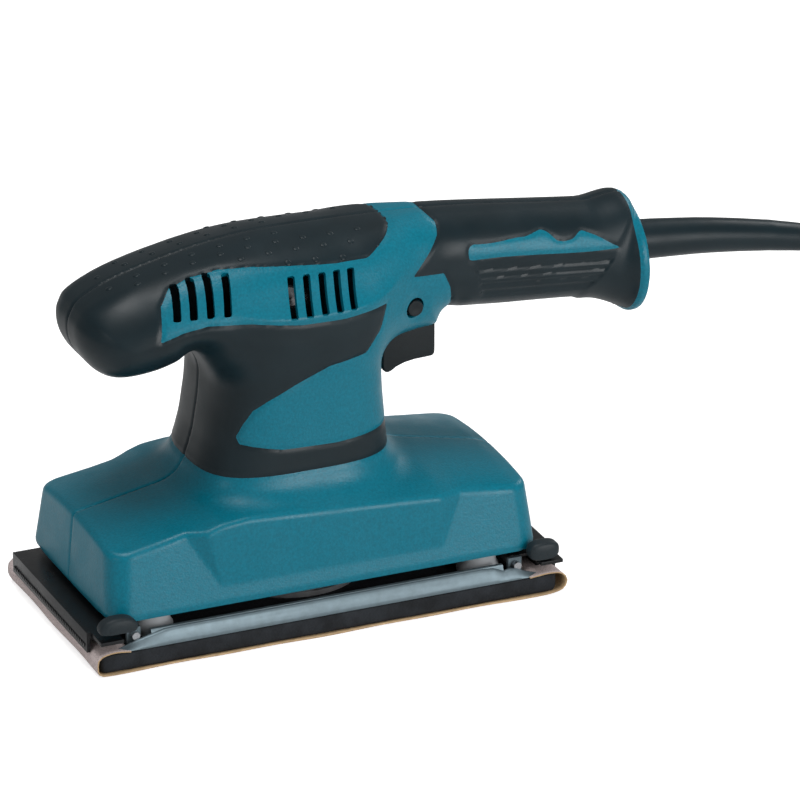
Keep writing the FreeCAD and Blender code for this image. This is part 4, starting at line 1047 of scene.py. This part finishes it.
pad = {"length": 184.0, "width": 92.6, "bottom": 0.6, "corner": 2.0,
       "sides": [(0, 3.0), (0.2, 1.6), (0.7, 0.7), (1.6, 0.2), (2.6, 0), (5.4, 0), (6.9, 0), (7.4, 0.15),
                 (7.65, 0.6)]}


def makePad():
    rings = []
    for height, inset in pad["sides"]:
        ring = []
        a, b, r = pad["length"] / 2 - inset, pad["width"] / 2 - inset, max(pad["corner"] - inset * 0.3, 0.8)
        for corner, (sx, sy) in enumerate(((1, 1), (-1, 1), (-1, -1), (1, -1))):
            for k in range(7):
                t = math.pi / 2 * (corner + k / 6)
                ring.append((sx * (a - r) + r * math.cos(t), sy * (b - r) + r * math.sin(t),
                             pad["bottom"] + height))
            nx, ny = ((-1, 1), (-1, -1), (1, -1), (1, 1))[corner]
            end = (nx * (a - r) + r * math.cos(math.pi / 2 * (corner + 1)),
                   ny * (b - r) + r * math.sin(math.pi / 2 * (corner + 1)))
            begin = ring[-1]
            for share in np.linspace(0, 1, 42)[1:-1]:
                x, y = (begin[i] + (end[i] - begin[i]) * share for i in (0, 1))
                ripple = 0.1 * math.sin(x * 0.5 + y * 0.4) + 0.07 * math.sin(x * 1.3 + 2)
                ring.append((x + (ripple if abs(x) > a - 1 else 0), y + (ripple if abs(y) > b - 1 else 0),
                             pad["bottom"] + height))
        rings.append(ring)
    obj = ringsObject("foam_pad", rings)
    crease(obj, 50)
    settleOn(obj, "base", ["pad_cushion"], "foam")


makePad()
print("paper and pad made")

# the lip's foot, crest and roll at places along x, and its section from the foot up
lip = {"thickness": 1.0, "roll": [(0.25, 0.2), (0.7, 0.3), (1.3, 0.15)],
       "side": [(0, 46.1), (0.12, 46.35), (0.3, 46.25), (0.62, 45.6), (0.88, 45.0), (0.97, 44.75)],
       "stations": [(-84.5, 8.6, 9.3, 0.6), (-81, 8.5, 10.2, 0.9), (-77.5, 8.4, 11.1, 1.2),
                    (-73, 8.4, 12.2, 1.5), (-66, 8.4, 13.7, 1.8), (-60, 8.4, 13.9, 1.9), (0, 8.4, 13.9, 1.9),
                    (62, 8.4, 13.9, 1.9), (67, 8.4, 13.5, 1.9), (71, 8.4, 11.9, 1.2), (73, 8.4, 12.3, 1.5),
                    (76, 8.4, 11.9, 1.3), (80, 8.4, 10.2, 1.0), (85, 8.2, 8.9, 0.5)]}


def makeLips():
    xs = np.concatenate([np.linspace(-84.5, -58, 28), np.linspace(-54, 58, 24), np.linspace(61, 85, 30)])
    at = [s[0] for s in lip["stations"]]
    foot, crest, roll = (np.interp(xs, at, [s[k] for s in lip["stations"]]) for k in (1, 2, 3))
    for side, sign in (("left", -1), ("right", 1)):
        rows = []
        for share, out in lip["side"]:
            rows.append([(x, sign * out, f + (c - f) * share) for x, f, c in zip(xs, foot, crest)])
        for inward, up in lip["roll"]:
            rows.append([(x, sign * (44.7 - inward * min(r, 1.6) / 1.2), c + up)
                         for x, c, r in zip(xs, crest, roll)])
        verts = [p for row in rows for p in row]
        faces = [face[::-sign] for face in gridFaces(len(rows), len(xs))]
        obj = crease(thicken(meshObject("plate_lip_" + side, verts, faces), lip["thickness"], -1), 45)
        settleOn(obj, "base", finishName="zinc")


makeLips()

cap = {"rear": {"centre": (85.6, -46.9, 19.6), "half": (6.1, 3.1, 3.7)},
       "front": {"centre": (-85.6, -46.9, 20.2), "half": (7.6, 3.1, 3.7)}}


def makeLeverCap(end, flat):
    (cx, cy, cz), (a, b, c) = cap[end]["centre"], cap[end]["half"]
    rings = []
    for share in np.linspace(-1, 1, 15):
        y = cy + b * share
        size = (1 - abs(share) ** 5 * 0.32)
        ring = roundedRing(a * size, c * size, 2 / 2.8, 36)
        if flat:
            ring = [(x, max(z, -0.55 * c)) for x, z in ring]
            ring = [(x * (1 - 0.24 * max(z / c, 0)), z) for x, z in ring]
        rings.append([(cx + x, y, cz + z) for x, z in ring])
    obj = ringsObject(end + "_lever_grip", rings)
    crease(obj, 50)
    settleOn(obj, end + "_clamp_jaw", [end + "_lever_cap"], "cap")


makeLeverCap("front", True)
makeLeverCap("rear", False)

jaw = {"pitch": 1.7, "count": 44, "half": 0.45, "root": 94.2, "tip": 95.1, "foot": 9.2, "top": 11.2,
       "tipTop": 10.4, "bevel": 1.1}


def makeJaws():
    # each clamp is the plain one with its edges softened, and fine ridges along its lower edge
    for end, sign in (("front", -1), ("rear", 1)):
        obj = addObject(end + "_jaw_plate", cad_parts[end + "_clamp"].data.copy())
        rework(obj, lambda work: bmesh.ops.dissolve_limit(
            work, angle_limit=math.radians(3), verts=work.verts, edges=work.edges))
        soften(obj, jaw["bevel"], 3, 40)
        settleOn(obj, end + "_clamp_jaw", [end + "_clamp"], "black steel")
        verts, faces = [], []
        for k in range(jaw["count"]):
            y = (k - jaw["count"] / 2 + 0.5) * jaw["pitch"]
            ends = ((jaw["root"], jaw["top"]), (jaw["tip"], jaw["tipTop"]))
            corners = [(sign * x, side, z) for x, top in ends
                       for side in (y - jaw["half"], y + jaw["half"]) for z in (jaw["foot"], top)]
            n = len(verts)
            verts += corners
            faces += [tuple(n + i for i in f) for f in ((0, 1, 3, 2), (4, 6, 7, 5), (0, 4, 5, 1),
                                                        (2, 3, 7, 6), (0, 2, 6, 4), (1, 5, 7, 3))]
        obj = closeUp(meshObject(end + "_jaw_ridges", verts, faces, smooth=False))
        settleOn(obj, end + "_clamp_jaw", finishName="black steel")


makeJaws()
print("plate and clamps made")

foot = {"places": [(x, y) for x in (-66, 66) for y in (-30.5, 30.5)],
        "outline": [(0, 8.25), (7.6, 8.25), (8.1, 8.9), (8.1, 11.2), (7.3, 12.2), (6.9, 14), (6.8, 18),
                    (6.9, 22), (7.0, 24.5), (7.2, 26), (7.2, 30.4), (6.8, 30.9), (4, 31), (3.9, 35.8),
                    (0, 35.8)]}


def makeFeet():
    verts, faces = [], []
    for x, y in foot["places"]:
        rings = latheRings([(max(r, 0.01), h) for r, h in foot["outline"]], (x, y, 0))
        for i, ring in enumerate(rings):
            verts += ring
            if i:
                faces += bandFaces(len(verts) - 2 * len(ring), len(verts) - len(ring), len(ring))
    obj = crease(closeUp(meshObject("rubber_feet", verts, faces)), 50)
    settleOn(obj, "base", ["elastic_feet"], "foot")


makeFeet()

guard = {"spots": [(133.0, 119.2), (141.0, 118.5), (149.0, 117.9), (161, 116.8), (172.7, 115.6), (187, 113.5),
                   (201.3, 111.0), (211, 109.0), (219.2, 107.2), (220.0, 107.0)],
         "radii": [7.7, 7.75, 7.7, 7.3, 6.95, 6.45, 5.97, 5.55, 5.2, 4.4]}


def makeGuard():
    spots = np.array(guard["spots"], float)
    fine = np.linspace(0, len(spots) - 1, 90)
    at = np.arange(len(spots))
    xs, zs, rs = (np.interp(fine, at, v) for v in (spots[:, 0], spots[:, 1], guard["radii"]))
    soft = np.ones(7) / 7
    zs[3:-3], rs[3:-3] = np.convolve(zs, soft, "valid"), np.convolve(rs, soft, "valid")
    obj = tubeObject("cord_guard_sleeve", [(x, 0, z) for x, z in zip(xs, zs)], rs, 44)
    crease(obj, 60)
    settleOn(obj, "housing", ["cord_guard"], "rubber")


makeGuard()

trigger = {"outline": [(36.9, 105.7), (36.9, 86.6), (37.6, 85.2), (38.9, 84.5), (40.4, 84.9), (42.6, 86.3),
                       (46, 87.5), (50, 88.1), (54.6, 88.3), (57.3, 88.4), (58.2, 89.4), (58.3, 91.5),
                       (58.3, 105.7)]}
settleOn(extruded("trigger_blade_cover", trigger["outline"], -8.45, 8.45, 1.3, 4), "trigger_blade",
         ["trigger"], "trigger")

button = {"centre": (44.5, 0, 114.6),
          "outline": [(0.01, -21.6), (1.5, -21.65), (2.4, -21.8), (2.9, -21.75), (3.2, -21.3), (3.3, -20.6),
                      (3.3, -14.7), (3.7, -14.6), (3.7, -13.0), (0.01, -13.0)]}


def makeButton():
    obj = ringsObject("lock_button_cap", latheRings(button["outline"], button["centre"], "Y", 40), False)
    crease(obj, 50)
    settleOn(obj, "lock_pin", ["lock_button"], "trigger")


makeButton()

plug = {"start": (325.1, 35.0, 27.85),
        "stations": [(0, 4.7, 4.7, 2), (3, 5.6, 5.2, 2.2), (8, 6.6, 5.8, 2.4), (14, 9.5, 6.3, 2.7),
                     (20, 13.4, 6.7, 3.1), (26, 16.3, 6.8, 3.6), (31, 17.4, 6.85, 4.2), (36, 17.6, 6.85, 4.6),
                     (37.5, 17.3, 6.6, 4.4), (38, 16.6, 6.0, 4)]}


def makePlug():
    x0, y0, z0 = plug["start"]
    at = [s[0] for s in plug["stations"]]
    rings = []
    for along in np.concatenate([np.linspace(0, 36, 40), [36.9, 37.5, 37.85, 38]]):
        half, lift, power = (float(np.interp(along, at, [s[k] for s in plug["stations"]])) for k in (1, 2, 3))
        waist = 0.35 * math.sin(along * 1.9) if 1.5 < along < 12 else 0
        ring = roundedRing(half + waist, lift + waist, 2 / power, 56)
        rings.append([(x0 - along, y0 + y, z0 + z) for y, z in ring])
    obj = ringsObject("mains_plug_body", rings)
    crease(obj, 55)
    return settleOn(obj, "housing", ["plug_body"], "lead")


plugPiece = makePlug()
print("lead and plug made")


def makeWells():
    verts, faces = [], []
    around = circle(32)
    r, f = wells["radius"], wells["floor"]
    for x, z in wells["places"]:
        rimX, rimZ = x + r * np.cos(around), z + r * np.sin(around)
        start = np.full(len(around), f)
        top = lastInside(lambda y: casingField(rimX, y, rimZ), start, start + 34) - wells["wall"]
        hole, outer, base = wells["screwHole"], r + wells["wall"], f - wells["base"]
        rings = [(hole, f), (r, f), (r, top), (outer, top), (outer, base), (hole, base), (hole, f)]
        for i, (radius, depth) in enumerate(rings):
            depths = np.broadcast_to(depth, around.shape)
            verts += [(x + radius * math.cos(t), d, z + radius * math.sin(t)) for t, d in zip(around, depths)]
            if i:
                faces += bandFaces(len(verts) - 2 * len(around), len(verts) - len(around), len(around))
    obj = crease(closeUp(meshObject("screw_wells", verts, faces)), 40)
    settleOn(obj, "housing", finishName="teal")


makeWells()

studio = {"worldStrength": 0.28, "floor": (0.80, 0.80, 0.80), "floorGlow": 0.66, "floorReach": 6,
          "aim": (0.05, 0, 0.07),
          "lamps": [("key", (0.7, -1.65, 0.5), 0.9, 18.0), ("top", (-0.15, -0.1, 1.6), 0.7, 13.0),
                    ("strip", (-1.35, -0.75, 0.7), 0.35, 1.6), ("rear", (1.2, 0.5, 0.8), 0.6, 4.0)]}


def makeStudio():
    scene = bpy.context.scene
    scene.view_settings.view_transform = "Standard"
    scene.world = bpy.data.worlds.new("studio")
    scene.world.use_nodes = True
    tree = scene.world.node_tree
    background = tree.nodes["Background"]
    background.inputs["Color"].default_value = (1, 1, 1, 1)
    path = addNode(tree, "ShaderNodeLightPath").outputs
    seen = addNode(tree, "ShaderNodeMath", sources={0: path["Is Camera Ray"], 1: path["Is Transmission Ray"]})
    seen.operation = "MAXIMUM"
    strength = addNode(tree, "ShaderNodeMapRange", {"To Min": studio["worldStrength"], "To Max": 1.0},
                       {"Value": seen.outputs[0]})
    tree.links.new(strength.outputs["Result"], background.inputs["Strength"])
    for name, spot, size, power in studio["lamps"]:
        data = bpy.data.lights.new(name, "AREA")
        data.energy, data.size = power, size
        lamp = addObject(name, data)
        lamp.location = spot
        lamp.rotation_euler = (Vector(spot) - Vector(studio["aim"])).to_track_quat("Z", "Y").to_euler()
    reach = studio["floorReach"]
    corners = [(-reach, -reach, 0), (reach, -reach, 0), (reach, reach, 0), (-reach, reach, 0)]
    floor = meshObject("studio_floor", corners, [(0, 1, 2, 3)], False, 1.0)
    material = finish("pale floor", studio["floor"], 0.9, specular=0.1)
    material.node_tree.nodes["Principled BSDF"].inputs["Emission Color"].default_value = (1, 1, 1, 1)
    path = addNode(material.node_tree, "ShaderNodeLightPath").outputs
    glow = addNode(material.node_tree, "ShaderNodeMath", {1: studio["floorGlow"]}, {0: path["Is Camera Ray"]})
    glow.operation = "MULTIPLY"
    feed(material, glow.outputs[0], "Emission Strength")
    floor.data.materials.append(material)


makeStudio()
print("studio made")

bpy.context.view_layer.update()
